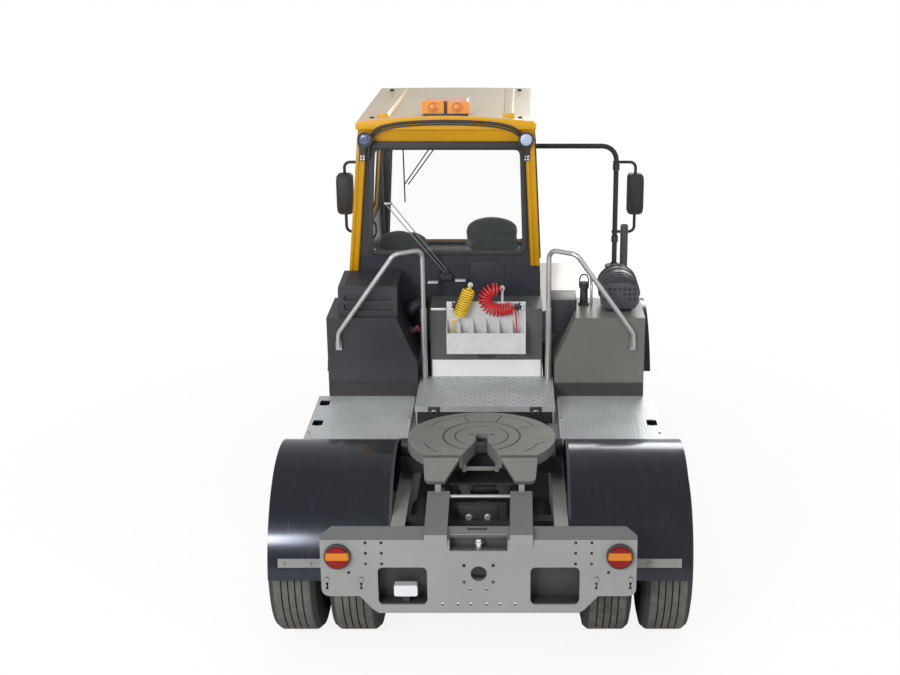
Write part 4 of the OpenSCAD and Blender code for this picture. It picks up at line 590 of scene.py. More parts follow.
def joined(pieces, name):
    choose(pieces[0])
    for piece in pieces:
        piece.select_set(True)
    bpy.ops.object.join()
    bpy.context.object.name = name
    bpy.context.object.data.name = name
    return bpy.context.object


def turnTo(place, way, size=1.0):  # from the origin, where Z is up, to a place where Z points a way
    turn = Vector(way).to_track_quat("Z", "Y").to_matrix().to_4x4()
    return Matrix.Translation(place) @ turn @ Matrix.Scale(size, 4)


def scatter(name, template, places, size=1.0):  # one shape at many places, as one piece
    return joined([copyOf(template, turnTo(place, way, size)) for place, way in places], name)


def wear(piece, finish, body="chassis"):
    piece.data.materials.clear()
    piece.data.materials.append(finish)
    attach(piece, body)
    return piece


def dress(node, finish):
    nodes[node].data.materials.clear()
    nodes[node].data.materials.append(finish)


hands = {"left": -1, "right": 1}
print("helpers ready")

# Air hoses: the routes of the CAD solids, in metres, with the coils wound by a loop
hoseY = -0.165
hoses = {
    "yellow": {"start": [(-0.108, hoseY + 0.040, 1.712), (-0.108, hoseY + 0.024, 1.712)],
               "coil": [(-0.112, hoseY + 0.004, 1.700), (-0.144, hoseY, 1.612), (-0.186, hoseY, 1.500)],
               "tail": [(-0.196, hoseY, 1.478), (-0.232, hoseY + 0.006, 1.470), (-0.234, hoseY + 0.010, 1.400),
                        (-0.234, hoseY + 0.010, 1.2445)], "pitch": 0.0165},
    "red": {"start": [(0.112, hoseY + 0.040, 1.690), (0.112, hoseY + 0.024, 1.690)],
            "coil": [(0.092, hoseY + 0.004, 1.692), (0.034, hoseY, 1.690), (-0.006, hoseY, 1.640),
                     (0.007, hoseY, 1.581), (0.059, hoseY, 1.548), (0.126, hoseY, 1.552), (0.190, hoseY, 1.560)],
            "tail": [(0.204, hoseY, 1.530), (0.212, hoseY + 0.010, 1.400), (0.212, hoseY + 0.010, 1.2445)],
            "pitch": 0.019}}
hoseD = 0.0115
coilR = 0.042


def smoothPath(points, steps):  # a curve through points
    ends = [2 * points[0] - points[1], *points, 2 * points[-1] - points[-2]]
    out = []
    for a, b, c, d in zip(ends, ends[1:], ends[2:], ends[3:]):
        for k in range(steps):
            t = k / steps
            out.append(0.5 * (2 * b + (c - a) * t + (2 * a - 5 * b + 4 * c - d) * t ** 2
                              + (3 * b - a - 3 * c + d) * t ** 3))
    return [*out, points[-1]]


def lengthOf(points):
    return sum((b - a).length for a, b in zip(points, points[1:]))


def coiledPath(shape, perTurn=18):
    axis = smoothPath([Vector(p) for p in shape["coil"]], 40)
    total = lengthOf(axis)
    turns = round(total / shape["pitch"])
    count = turns * perTurn
    out = []
    walked, leg = 0.0, 0
    side = Vector((0, -1, 0))
    for i in range(count + 1):
        want = total * i / count
        while leg < len(axis) - 2 and walked + (axis[leg + 1] - axis[leg]).length < want:
            walked += (axis[leg + 1] - axis[leg]).length
            leg += 1
        step = axis[leg + 1] - axis[leg]
        way = step.normalized()
        middle = axis[leg] + way * (want - walked)
        side = (side - way * side.dot(way)).normalized()
        grow = min(1.0, i / perTurn, (count - i) / perTurn)  # the first and last turn open out from the middle
        angle = 2 * math.pi * i / perTurn
        arm = side * math.cos(angle) + way.cross(side) * math.sin(angle)
        out.append(middle + arm * coilR * (0.15 + 0.85 * grow))
    tail = smoothPath([out[-1], *[Vector(p) for p in shape["tail"]]], 8)
    return [Vector(p) for p in shape["start"]] + out + tail[1:]


for colour, shape in hoses.items():
    path = coiledPath(shape)
    hose = drawPath(colour + "_coil_hose", path, hoseD / 2, curved=False)
    wear(hose, yellowSkin if colour == "yellow" else redSkin)
    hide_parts(colour + "_hose")
    round(lengthOf(path), 2)
    print("hose", colour, round(lengthOf(path), 3))

# Tyres with ribs and grooves, in place of the plain ones
tyre = {"radius": 0.53, "half": 0.148, "bead": 0.2865, "ribs": 5, "groove": 0.008, "depth": 0.014, "tread": 0.0955}


def tyreProfile(x0):
    half, top, bead = tyre["half"], tyre["radius"], tyre["bead"]
    wall = [(bead, 0.70), (bead + 0.021, 0.74), (bead + 0.026, 0.80), (bead + 0.062, 0.94), (0.385, 0.992),
            (0.392, 1.0), (0.408, 1.0), (0.414, 0.99), (0.46, 0.968), (0.496, 0.90), (0.498, 0.912), (0.505, 0.90),
            (0.509, 0.862), (0.524, 0.752), (0.5285, 0.69)]
    tread = []
    rib = (2 * tyre["tread"] - (tyre["ribs"] - 1) * tyre["groove"]) / tyre["ribs"]
    for i in range(tyre["ribs"]):
        start = -tyre["tread"] + i * (rib + tyre["groove"])
        crown = top - 0.0005
        if i:
            tread += [(top - tyre["depth"], start - tyre["groove"] * share) for share in (0.75, 0.25)]
        tread += [(crown, start), (crown, start + rib)]
    left = [(r, -half * w) for r, w in wall]
    right = [(r, half * w) for r, w in reversed(wall)]
    return [(x0 + x, r) for r, x in left + tread + right + [left[0]]]


def makeTyres(name, node, body, centres, axle, finish):
    made = []
    for i, x0 in enumerate(centres):
        line = [(x, axle.y, axle.z + r) for x, r in tyreProfile(x0)]
        made.append(spinLine(name + str(i), line, axle, (1, 0, 0), 96, 28))
    piece = joined(made, name) if len(made) > 1 else made[0]
    piece.name = name
    wear(piece, finish, body)
    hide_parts(node)


rearLow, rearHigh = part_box("rear_left_tyres")
frontLow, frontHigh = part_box("front_left_tyre")
rearAxle = Vector((0, (rearLow.y + rearHigh.y) / 2, (rearLow.z + rearHigh.z) / 2))
frontAxle = Vector((0, (frontLow.y + frontHigh.y) / 2, (frontLow.z + frontHigh.z) / 2))
rearX = -(rearLow.x + rearHigh.x) / 2
frontX = -(frontLow.x + frontHigh.x) / 2
twinHalf = (rearHigh.x - rearLow.x) / 2 - tyre["half"]
rearRubber = tyreRubber("rear_tyre_rubber", rearAxle.y, rearAxle.z, tyre["radius"])
frontRubber = tyreRubber("front_tyre_rubber", frontAxle.y, frontAxle.z, tyre["radius"])
for word, side in hands.items():
    makeTyres("rear_%s_treads" % word, "rear_%s_tyres" % word, "rear_%s_wheels" % word,
              [side * rearX - twinHalf, side * rearX + twinHalf], rearAxle, rearRubber)
    makeTyres("front_%s_tread" % word, "front_%s_tyre" % word, "front_%s_wheel" % word, [side * frontX], frontAxle,
              frontRubber)
print("tyres done")

# Finishes of the CAD pieces
for node, finish in {
        "frame_rails": framePaint, "crossmembers": darkPaint, "side_brackets": framePaint, "battery_box": darkPaint,
        "fuel_tank": treadMetal, "cab_steps": darkPaint, "cab_floor": darkPaint, "front_bumper": darkPaint,
        "rear_bumper": bumperPaint, "pickup_ramps": bumperPaint, "lift_boom": darkPaint, "rear_lamps": tailLens,
        "rear_mudguards": mudguardBlack, "front_mudguards": mudguardBlack, "deck_plates": deckMetal,
        "platform": treadMetal, "kick_plate": creamPaint, "centre_panel": panelPaint, "hose_tray": galvanised,
        "handrails": railMetal, "left_cabinet": cabinetDark, "cab_rear_wall": cabRear, "right_cabinet": cabinetWarm,
        "louvred_cover": coverPlastic, "air_cleaner": blackPlastic, "grille": blackPlastic, "mirrors": mirrorBlack,
        "dashboard": dashPlastic, "exhaust_stack": pipeDark, "lift_barrels": framePaint, "lift_rods": chrome,
        "fifth_wheel_plate": fifthCast, "fifth_wheel_jaw": axleCast, "rear_axle": axleCast, "front_axle": axleCast,
        "left_knuckle": axleCast, "right_knuckle": axleCast, "tie_rod": axleCast, "engine_block": axleCast,
        "rear_left_rims": rimPaint, "rear_right_rims": rimPaint, "front_left_rim": rimPaint,
        "front_right_rim": rimPaint, "engine_cowl": cowlPaint, "headlamps": whiteLens, "cab_side_walls": cabGold,
        "cab_front_wall": cabGold, "cab_roof": cabTop, "cab_door": cabGold, "cab_glass": windowGlass,
        "door_glass": windowGlass, "seats": seatCloth, "roof_lamps": barLens}.items():
    dress(node, finish)
print("CAD pieces dressed")

# Small parts used in many places
bolt = {"radius": 0.011, "height": 0.009}
deselect()
bpy.ops.mesh.primitive_cylinder_add(vertices=6, radius=bolt["radius"], depth=bolt["height"],
                                    location=(0, 0, bolt["height"] / 2))
boltHead = settle("bolt_head")
editAll()
bpy.ops.mesh.inset(thickness=0.0012, depth=0.0012)
bpy.ops.object.mode_set(mode="OBJECT")
washer = addDrum("bolt_washer", (0, 0, 0), (0, 0, 0.002), 0.016, 20, 0.0006)
boltSet = joined([boltHead, washer], "bolt_set")


def boltAll(name, places, way, finish=zinc, size=1.0):
    return wear(scatter(name, boltSet, [(place, way) for place in places], size), finish)


def mirrored(points):  # the same places on the left
    return [*points, *[(-x, y, z) for x, y, z in points]]


# Cab: pillars, seals and roof trim
cab = {"rear": 0.230, "front": 2.310, "left": -0.980, "right": 0.380, "waist": 1.700, "top": 2.735,
       "leanLeft": 0.095, "leanRight": 0.048, "rake": 0.190, "screen": 1.400}


def lean(z):  # share of the way from waist to top
    return max(0.0, z - cab["waist"]) / (cab["top"] - cab["waist"])


def leftAt(z):
    return cab["left"] + cab["leanLeft"] * lean(z)


def rightAt(z):
    return cab["right"] - cab["leanRight"] * lean(z)


def frontAt(z):
    return cab["front"] - cab["rake"] * max(0.0, z - cab["screen"]) / (cab["top"] - cab["screen"])


pillar = {"low": (1.708, 1.765), "high": 2.648, "flutes": [(0, 0.022), (0.005, 0.029), (0.022, 0.029),
          (0.027, 0.021), (0.037, 0.021), (0.042, 0.029), (0.060, 0.029), (0.067, 0.020), (0.067, -0.001), (0, -0.001)]}
for word, edge, way, low in (("left", leftAt, 1, pillar["low"][0]), ("right", rightAt, -1, pillar["low"][1])):
    outline = [(edge(low) + way * a, cab["rear"] - b, low) for a, b in pillar["flutes"]]
    rise = (edge(pillar["high"]) - edge(low), 0, pillar["high"] - low)
    wear(drawPlate("rear_pillar_" + word, outline, rise, 0.0025), cabGold)


def grown(corners, by):
    (a, b), (c, d), (e, f), (g, h) = corners
    return [(a - by, b - by), (c + by, d - by), (e + by, f + by), (g - by, h + by)]


panes = {"rear": {"corners": [(-0.819, 1.86), (0.264, 1.86), (0.242, 2.60), (-0.782, 2.60)], "rides": "chassis",
                  "place": lambda a, z: (a, cab["rear"] + 0.001, z), "out": (0, -1, 0)},
         "quarter": {"corners": [(1.200, 1.78), (2.116, 1.78), (1.995, 2.63), (1.200, 2.63)], "rides": "chassis",
                     "place": lambda a, z: (leftAt(z) + 0.001, a, z), "out": (-1, 0, 0)},
         "right_rear": {"corners": [(0.370, 1.78), (1.098, 1.78), (1.098, 2.63), (0.370, 2.63)], "rides": "chassis",
                        "place": lambda a, z: (rightAt(z) - 0.001, a, z), "out": (1, 0, 0)},
         "right_front": {"corners": [(1.188, 1.78), (2.116, 1.78), (1.995, 2.63), (1.188, 2.63)], "rides": "chassis",
                         "place": lambda a, z: (rightAt(z) - 0.001, a, z), "out": (1, 0, 0)},
         "front": {"corners": [(-0.890, 1.42), (0.290, 1.42), (0.246, 2.645), (-0.803, 2.645)], "rides": "chassis",
                   "place": lambda a, z: (a, frontAt(z) - 0.001, z), "out": (0, 1, 0)},
         "door": {"corners": [(0.440, 1.72), (1.027, 1.72), (1.027, 2.59), (0.440, 2.59)], "rides": "cab_door",
                  "place": lambda a, z: (leftAt(z) + 0.001, a, z), "out": (-1, 0, 0)}}
for word, hole in panes.items():
    wide = 0.024 if word == "rear" else 0.014
    corners = [hole["place"](a, z) for a, z in grown(hole["corners"], wide)]
    ring = addRing("%s_window_seal" % word, corners, 0.075, wide + 0.011, 0.011, hole["out"])
    wear(ring, sealRubber, hole["rides"])

topBar = drawPlate("rear_window_top_bar", [(-0.800, 0.229, 2.598), (0.256, 0.229, 2.598), (0.252, 0.229, 2.650),
                                           (-0.797, 0.229, 2.650)], (0, -0.026, 0), 0.008, 3)
wear(topBar, sealRubber)
arch = {"radius": 0.011, "path": [(-0.818, 0.206, 2.53), (-0.806, 0.200, 2.62), (-0.794, 0.190, 2.70),
        (-0.755, 0.184, 2.742), (-0.69, 0.184, 2.766), (-0.56, 0.184, 2.787), (-0.27, 0.184, 2.798),
        (0.02, 0.184, 2.787), (0.14, 0.184, 2.766), (0.205, 0.184, 2.742), (0.246, 0.190, 2.70),
        (0.262, 0.200, 2.62), (0.272, 0.206, 2.53)]}
wear(addTube("roof_edge_strip", arch["path"], arch["radius"]), sealRubber)
harness = [(x * 0.985 - 0.004, y - 0.006, z - 0.02) for x, y, z in arch["path"][2:-2]]
wear(addTube("roof_edge_harness", harness, 0.006), blackPlastic)

# Roof: crowned and ribbed, falling to the front
roof = {"left": -0.897, "right": 0.344, "rear": 0.195, "front": 2.160, "base": 2.735, "edge": 0.060, "rise": 0.035,
        "fall": 0.14, "ribs": 0.433, "chamfer": 0.018}


def roofSection(y, points):  # a section at the rear edge, lowered for its place along the roof
    share = (y - roof["rear"]) / (roof["front"] - roof["rear"])
    return [(x, y, roof["base"] + h * (1 - share * (1 - roof["fall"]))) for x, h in points]


def bridged(name, first, second, width, segments=3):  # two outlines of as many corners, joined into a solid
    piece = joined([drawLine(name, first, close=True), drawLine(name + "_end", second, close=True)], name)
    editAll()
    bpy.ops.mesh.bridge_edge_loops()
    bpy.ops.object.mode_set(mode="OBJECT")
    bpy.ops.object.mode_set(mode="EDIT")
    bpy.ops.mesh.select_all(action="DESELECT")
    bpy.ops.mesh.select_non_manifold()
    bpy.ops.mesh.fill_holes(sides=0)
    closeEdit()
    return soften(piece, width, segments)


middle = (roof["left"] + roof["right"]) / 2
half = (roof["right"] - roof["left"]) / 2
crown = [(middle + (half - 0.04) * a / 60, roof["edge"] + roof["rise"] * math.cos(math.radians(a * 1.5)))
         for a in range(60, -61, -10)]
section = [(roof["left"], 0), (roof["right"], 0), (roof["right"], roof["edge"] - roof["chamfer"]),
           (roof["right"] - roof["chamfer"], roof["edge"]), *crown, (roof["left"] + roof["chamfer"], roof["edge"]),
           (roof["left"], roof["edge"] - roof["chamfer"])]
shells = [bridged("roof_shell", roofSection(roof["rear"], section), roofSection(roof["front"], section), 0.008)]
for s in (-1, 1):
    x = middle + s * roof["ribs"]
    rib = [(x - 0.045, 0.055), (x + 0.045, 0.055), (x + 0.030, 0.108), (x - 0.030, 0.108)]
    ends = [roofSection(y, rib) for y in (roof["rear"] + 0.06, roof["front"] - 0.06)]
    shells.append(bridged("roof_rib", *ends, 0.008))
shell = wear(joined(shells, "roof_shell"), cabTop)
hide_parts("cab_roof")

# Roof lamps: lens, bezel and bracket of the round ones, reflectors and base of the light bar
workLamp = {"x": (-0.830, 0.277), "z": 2.675, "face": 0.140, "radius": 0.045}
for word, x in zip(hands, workLamp["x"]):
    centre = Vector((x, 0, workLamp["z"]))
    y, r = workLamp["face"], workLamp["radius"]
    bezel = [(y + 0.028, r + 0.003), (y + 0.004, r + 0.009), (y - 0.004, r + 0.008), (y - 0.005, r + 0.001),
             (y + 0.004, r - 0.005)]
    wear(turned("work_lamp_bezel_" + word, centre, bezel, 40), blackPlastic)
    dome = [(y - 0.006, 0), (y - 0.0055, r * 0.5), (y - 0.002, r * 0.85), (y + 0.003, r - 0.001)]
    lens = turned("work_lamp_lens_" + word, centre, dome, 40)
    # painted reflections: dark blue lens on the left lamp, pale on the right
    wear(lens, blueLens if x < 0 else paleLens)
    bx = x + (-0.026 if x < 0 else 0.005)
    bracket = [(bx - 0.020, 0.204, 2.515), (bx + 0.020, 0.204, 2.515), (bx + 0.022, 0.204, 2.60),
               (bx + 0.034, 0.204, 2.64), (bx - 0.034, 0.204, 2.64), (bx - 0.022, 0.204, 2.60)]
    wear(drawPlate("work_lamp_bracket_" + word, bracket, (0, -0.006, 0), 0.0015), blackPlastic)
    boltAll("work_lamp_bolts_" + word, [(bx + a, 0.198, z) for a in (-0.010, 0.010) for z in (2.528, 2.548)],
            (0, -1, 0), size=0.5)
beacon = {"x": -0.2765, "z": 2.882, "face": 0.2155, "spread": 0.082}
for word, s in hands.items():
    centre = Vector((beacon["x"] + s * beacon["spread"], beacon["face"], beacon["z"]))
    rim = [(0.002, 0.040), (-0.004, 0.039), (-0.004, 0.033), (0.0, 0.028), (-0.006, 0.014), (-0.009, 0)]
    wear(turned("beacon_cup_" + word, centre, rim, 36), amberLens)
wear(addBox("beacon_middle", (beacon["x"] - 0.012, 0.211, 2.836), (beacon["x"] + 0.012, 0.369, 2.9295), 0.005),
     blackPlastic)
wear(addBox("beacon_base", (beacon["x"] - 0.155, 0.209, 2.816), (beacon["x"] + 0.155, 0.371, 2.843), 0.005),
     blackPlastic)
eyelets = [(x, y, z) for y, z in ((0.30, 2.792), (1.95, 2.750)) for x in (-0.79, 0.235)]
for i, (x, y, z) in enumerate(eyelets):
    eye = spinLine("roof_eyelet_%d" % i, [(x, y + 0.018, z), (x, y + 0.018, z + 0.012), (x, y + 0.010, z + 0.016),
                                          (x, y + 0.006, z + 0.008)], (x, y, z), (0, 0, 1), 20)
    wear(eye, blackPlastic)
print("cab trim done")

# Wipers
wiper = {"pivot": Vector((-0.300, 0.212, 1.715)), "joint": Vector((-0.706, 0.196, 2.213)),
         "gap": Vector((0.042, 0, 0.006))}
pieces = []
for i in (0, 1):
    start, end = wiper["pivot"] + wiper["gap"] * i * 0.6, wiper["joint"] + wiper["gap"] * i
    middle = start.lerp(end, 0.5) + Vector((0, -0.014, 0))
    arm = [start, start.lerp(middle, 0.5), middle, middle.lerp(end, 0.5), end]
    pieces.append(addTube("rear_wiper_arm_%d" % i, arm, 0.0036))
pieces.append(addBox("rear_wiper_link", wiper["joint"] - Vector((0.008, 0.005, 0.006)),
                     wiper["joint"] + wiper["gap"] + Vector((0.006, 0.005, 0.006)), 0.002))
wear(joined(pieces, "rear_wiper_arms"), wiperMetal)
hubAt = wiper["pivot"] + Vector((0.005, 0, 0))
blade = [addBox("blade_spine", (-0.724, 0.201, 2.215), (-0.714, 0.212, 2.470), 0.002),
         addBox("blade_rubber", (-0.7215, 0.205, 2.015), (-0.7165, 0.219, 2.470), 0.001),
         addDrum("wiper_hub", hubAt + Vector((0, 0.02, 0)), hubAt + Vector((0, -0.016, 0)), 0.024, 24),
         addBox("wiper_motor", (-0.335, 0.196, 1.655), (-0.245, 0.231, 1.705), 0.008, 3)]
wear(joined(blade, "rear_wiper_blade"), blackPlastic)
front = {"x": -0.735, "blade": (1.765, 1.96, 2.16, 2.36, 2.56), "pivotX": -0.262, "pivotZ": 2.600,
         "jointZ": 1.918, "boxZ": 2.62}
pieces = [addTube("front_blade", [(front["x"], frontAt(z) + 0.016, z) for z in front["blade"]], 0.006)]
for gap in (0.0, 0.052):
    start = Vector((front["pivotX"] + gap, frontAt(front["pivotZ"]) + 0.012, front["pivotZ"]))
    end = Vector((front["x"] + gap * 0.6, frontAt(front["jointZ"]) + 0.03, front["jointZ"]))
    pieces.append(addTube("front_arm", [start.lerp(end, k / 4) for k in range(5)], 0.0055))
screenY = frontAt(front["boxZ"])
pieces.append(addBox("front_wiper_box", (-0.30, screenY - 0.004, 2.585), (-0.17, screenY + 0.03, 2.635), 0.008))
wear(joined(pieces, "front_wiper"), blackPlastic)
rod = [(-0.930, frontAt(1.70) + 0.004, 1.70), *[(x, frontAt(z) + 0.014, z) for x, z in
       ((-0.960, 1.69), (-0.958, 1.85), (-0.945, 2.10), (-0.930, 2.40))]]
wear(addTube("corner_marker_rod", rod, 0.004), blackPlastic)
grip = [(-0.920, 1.728), (-0.878, 1.735), (-0.868, 1.80), (-0.878, 1.865), (-0.915, 1.872)]
wear(addTube("inner_grab_handle", [(x, 1.150, z) for x, z in grip], 0.009), blackPlastic)
print("wipers done")


# Seats: pads blown up as cloth, on hard bases
def addPad(name, low, high, edge, swell, arch=0.0, channels=()):
    low, high = Vector(low), Vector(high)
    if arch:  # a domed top
        inner, outer = low + Vector((swell,) * 3), high - Vector((swell,) * 3)
        centre, reach = (inner.x + outer.x) / 2, (outer.x - inner.x) / 2
        dome = [(centre + reach * math.cos(a), outer.z - arch * (1 - math.sin(a) ** 0.7))
                for a in [math.pi * k / 14 for k in range(15)]]
        outline = [(inner.x, inner.y, inner.z), (outer.x, inner.y, inner.z), *[(x, inner.y, z) for x, z in dome]]
        pad = drawPlate(name, outline, (0, outer.y - inner.y, 0), edge * 0.6, 3)
    else:
        pad = addBox(name, low + Vector((swell,) * 3), high - Vector((swell,) * 3), edge, 4)
    modify(pad, "REMESH", mode="VOXEL", voxel_size=0.014)
    choose(pad)
    puff = pad.modifiers.new("cloth", "CLOTH")
    puff.settings.use_pressure = True
    puff.settings.uniform_pressure_force = 4.0
    puff.settings.effector_weights.gravity = 0.0
    puff.settings.tension_stiffness = 25
    puff.settings.bending_stiffness = 2.0
    puff.point_cache.frame_start, puff.point_cache.frame_end = 1, 14
    for step in range(1, 15):
        bpy.context.scene.frame_set(step)
    bpy.ops.object.modifier_apply(modifier=puff.name)
    bpy.context.scene.frame_set(1)
    modify(pad, "SMOOTH", factor=0.5, iterations=3)
    for point in pad.data.vertices:  # the pad keeps to its own room
        point.co = Vector([min(max(c, a), b) for c, a, b in zip(point.co, low, high)])
        sewn = sum(math.exp(-((point.co.z - z) / 0.009) ** 2) for z in channels) * 0.010
        point.co.y += sewn if point.co.y < (low.y + high.y) / 2 else -sewn
    bpy.ops.object.shade_smooth()
    return pad


seats = {"driver": {"x": 0.030, "cushion": 1.475, "back": 2.020},
         "mate": {"x": -0.630, "cushion": 1.415, "back": 1.920}}
for word, seat in seats.items():
    x, z = seat["x"], seat["cushion"]
    cushion = addPad(word + "_cushion", (x - 0.235, 0.665, z), (x + 0.235, 1.128, z + 0.130), 0.045, 0.012)
    back = addPad(word + "_backrest", (x - 0.212, 0.602, z + 0.02), (x + 0.212, 0.718, seat["back"] + 0.012),
                  0.05, 0.008, 0.15, [seat["back"] - d for d in (0.13, 0.21, 0.29)])
    for pad in (cushion, back):
        wear(pad, seatCloth)
    base = [addBox("seat_box", (x - 0.15, 0.72, 1.245), (x + 0.15, 1.04, 1.36), 0.01),
            addBox("seat_bellows", (x - 0.135, 0.735, 1.355), (x + 0.135, 1.025, z - 0.02), 0.004),
            addBox("seat_pan", (x - 0.215, 0.68, z - 0.03), (x + 0.215, 1.11, z + 0.004), 0.01)]
    for k in range(3):
        low = 1.37 + 0.03 * k
        if low < z - 0.03:
            base.append(addBox("bellows_fold", (x - 0.148, 0.722, low), (x + 0.148, 1.038, low + 0.015), 0.006))
    knobPlace = Vector((x - 0.165, 0.60, z + 0.355))
    base.append(addDrum("recliner_knob", knobPlace, knobPlace + Vector((0, -0.022, 0)), 0.026, 24, 0.005))
    shell = wear(joined(base, word + "_seat_base"), dashPlastic)
    if word == "mate":
        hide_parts("seats")
gauge = [(0.032, 1.6205), (0.032, 1.6285), (0.027, 1.6295), (0.024, 1.6225), (0, 1.6225)]
cups = []
for x in (-0.338, -0.262):
    cups.append(spinLine("console_gauge", [(x + r, 1.00, z) for r, z in gauge], (x, 1.00, 1.62), (0, 0, 1), 28))
wear(joined(cups, "console_gauges"), railMetal)
print("seats done")

# Mirrors, hand grips and door furniture
mirror = {"x": 1.1725, "half": 0.053, "face": 1.629, "z": (1.820, 2.120), "rimX": 0.006, "rimZ": 0.008}
for word, s in hands.items():
    middle = s * mirror["x"]
    corners = upright((middle - mirror["half"], middle + mirror["half"]), mirror["face"], mirror["z"])
    # the mirror glass is matte black: a painted dark reflection
    plate = drawPlate("mirror_glass_" + word, roundCorners(corners, 0.05), (0, -0.004, 0), 0.0012)
    wear(plate, mirrorBlack)
    wide = (middle - mirror["half"] - mirror["rimX"], middle + mirror["half"] + mirror["rimX"])
    tall = (mirror["z"][0] - mirror["rimZ"], mirror["z"][1] + mirror["rimZ"])
    wear(addRing("mirror_rim_" + word, upright(wide, 1.631, tall), 0.056, 0.009, 0.009, (0, -1, 0)), blackPlastic)
clamps = [((0.995, 1.47, z), (0.995, 1.47, z + 0.05), 0.027) for z in (1.62, 2.20)]
wear(joined([addDrum("hoop_clamp", a, b, r, 24) for a, b, r in clamps], "hoop_clamps"), blackPlastic)
foot = [(1.022, 1.4205), (1.070, 1.4205), (1.070, 1.428), (1.028, 1.432), (1.020, 1.45)]
wear(spinLine("hoop_foot", [(x, 1.47, z) for x, z in foot], (0.995, 1.47, 1.42), (0, 0, 1), 32), blackPlastic)
pull = [(-0.976, 0.400), (-1.004, 0.405), (-1.010, 0.450), (-1.004, 0.500), (-0.976, 0.505)]
handle = addTube("door_handle", [(x, y, 1.560) for x, y in pull], 0.008)
wear(handle, blackPlastic, "cab_door")
cup = addBox("door_handle_cup", (-0.986, 0.390, 1.525), (-0.979, 0.515, 1.595), 0.003)
wear(cup, blackPlastic, "cab_door")
for word, y in (("rear", 0.300), ("front", 1.215)):
    bend = [(-0.978, y, 1.30), (-1.020, y, 1.315), (-1.024, y, 1.60), (-1.020, y, 1.655), (-0.976, y, 1.67)]
    wear(addTube("entry_grab_" + word, bend, 0.013), railMetal)
print("mirrors and grips done")


# Behind the cab: tray knobs, isolator, duct, filler post, air cleaner, hatch and strips
def starPoints(x, y, z, big, small, lobes=6):  # outline of a star knob that faces the rear
    out = []
    for k in range(lobes * 4):
        r = big if k % 4 < 2 else small
        a = 2 * math.pi * (k + 0.5) / (lobes * 4)
        out.append((x + r * math.cos(a), y, z + r * math.sin(a)))
    return out


tray = {"face": -0.113, "knobs": [(-0.215, 1.567), (0.224, 1.560)], "big": 0.032, "small": 0.022}
for i, (x, z) in enumerate(tray["knobs"]):
    outline = starPoints(x, tray["face"] - 0.006, z, tray["big"], tray["small"])
    star = drawPlate("tray_knob_%d" % i, outline, (0, -0.016, 0), 0.003)
    cap = addDrum("tray_knob_cap", (x, tray["face"] - 0.022, z), (x, tray["face"] - 0.029, z), 0.016, 24, 0.002,
                  0.012)
    stem = addDrum("tray_knob_stem", (x, tray["face"] + 0.006, z), (x, tray["face"] - 0.008, z), 0.010, 16, 0.001)
    wear(joined([star, cap, stem], "tray_knob_%d" % i), blackPlastic)

slope = {"low": Vector((-0.474, 0, 1.195)), "high": Vector((-0.612, 0, 1.524))}  # inner side of the left cabinet
isolatorAt = slope["low"].lerp(slope["high"], 0.46) + Vector((0, -0.02, 0))
outward = Vector((0.922, 0, 0.387))
base = addDrum("isolator_base", isolatorAt - outward * 0.001, isolatorAt + outward * 0.016, 0.034, 32, 0.003)
neck = addDrum("isolator_neck", isolatorAt + outward * 0.015, isolatorAt + outward * 0.050, 0.022, 24, 0.002)
wear(joined([base, neck], "isolator_body"), blackPlastic)
disc = addDrum("isolator_ring", isolatorAt + outward * 0.016, isolatorAt + outward * 0.022, 0.029, 32, 0.002)
grip = addBox("isolator_key", (-0.005, -0.022, 0), (0.005, 0.022, 0.026), 0.004)
grip.data.transform(turnTo(isolatorAt + outward * 0.045, outward))
wear(joined([disc, grip], "isolator_key"), isolatorRed)
duct = {"path": [(-0.470, 0.180, 1.500), (-0.500, 0.130, 1.495), (-0.535, 0.100, 1.480), (-0.560, 0.120, 1.440),
                 (-0.555, 0.180, 1.410)], "radius": 0.046}
wear(addTube("left_duct", duct["path"], duct["radius"], sides=6), coverPlastic)

post = {"x": 0.684, "y": 0.05, "foot": 1.5245, "top": 1.690}
px, py = post["x"], post["y"]
body = [(px + r, py, z) for r, z in (
    (0.0, post["foot"]), (0.040, post["foot"]), (0.040, post["foot"] + 0.008), (0.028, post["foot"] + 0.014),
    (0.027, 1.64), (0.033, 1.645), (0.034, 1.682), (0.028, post["top"]), (0.0, post["top"] + 0.002))]
wear(spinLine("filler_post", body, (px, py, 1.6), (0, 0, 1), 36), blackPlastic)
loop = [(-0.030, 1.66), (-0.036, 1.735), (0, 1.752), (0.036, 1.735), (0.030, 1.66)]
wear(addTube("filler_loop", [(px + a, py, z) for a, z in loop], 0.005), blackPlastic)
pipe = [(0.02, 1.5245), (0.02, 1.64), (0.04, 1.70), (0.10, 1.715), (0.20, 1.715)]
wear(addTube("cabinet_pipe", [(0.735, y, z) for y, z in pipe], 0.009), railMetal)

cleaner = {"x": 0.922, "half": 0.145, "low": 1.532, "wide": 1.640, "top": 1.790, "y": (-0.136, 0.188)}


def cleanerOutline(y, grow=0.0):  # flat foot, slanted flanks and a round back
    x, half = cleaner["x"], cleaner["half"] + grow
    rise = cleaner["top"] + grow - cleaner["wide"]
    arc = [(x + half * math.cos(a), y, cleaner["wide"] + rise * math.sin(a)) for a in
           [math.pi * k / 16 for k in range(17)]]
    return [(x - half * 0.62, y, cleaner["low"]), (x + half * 0.62, y, cleaner["low"]), *arc]


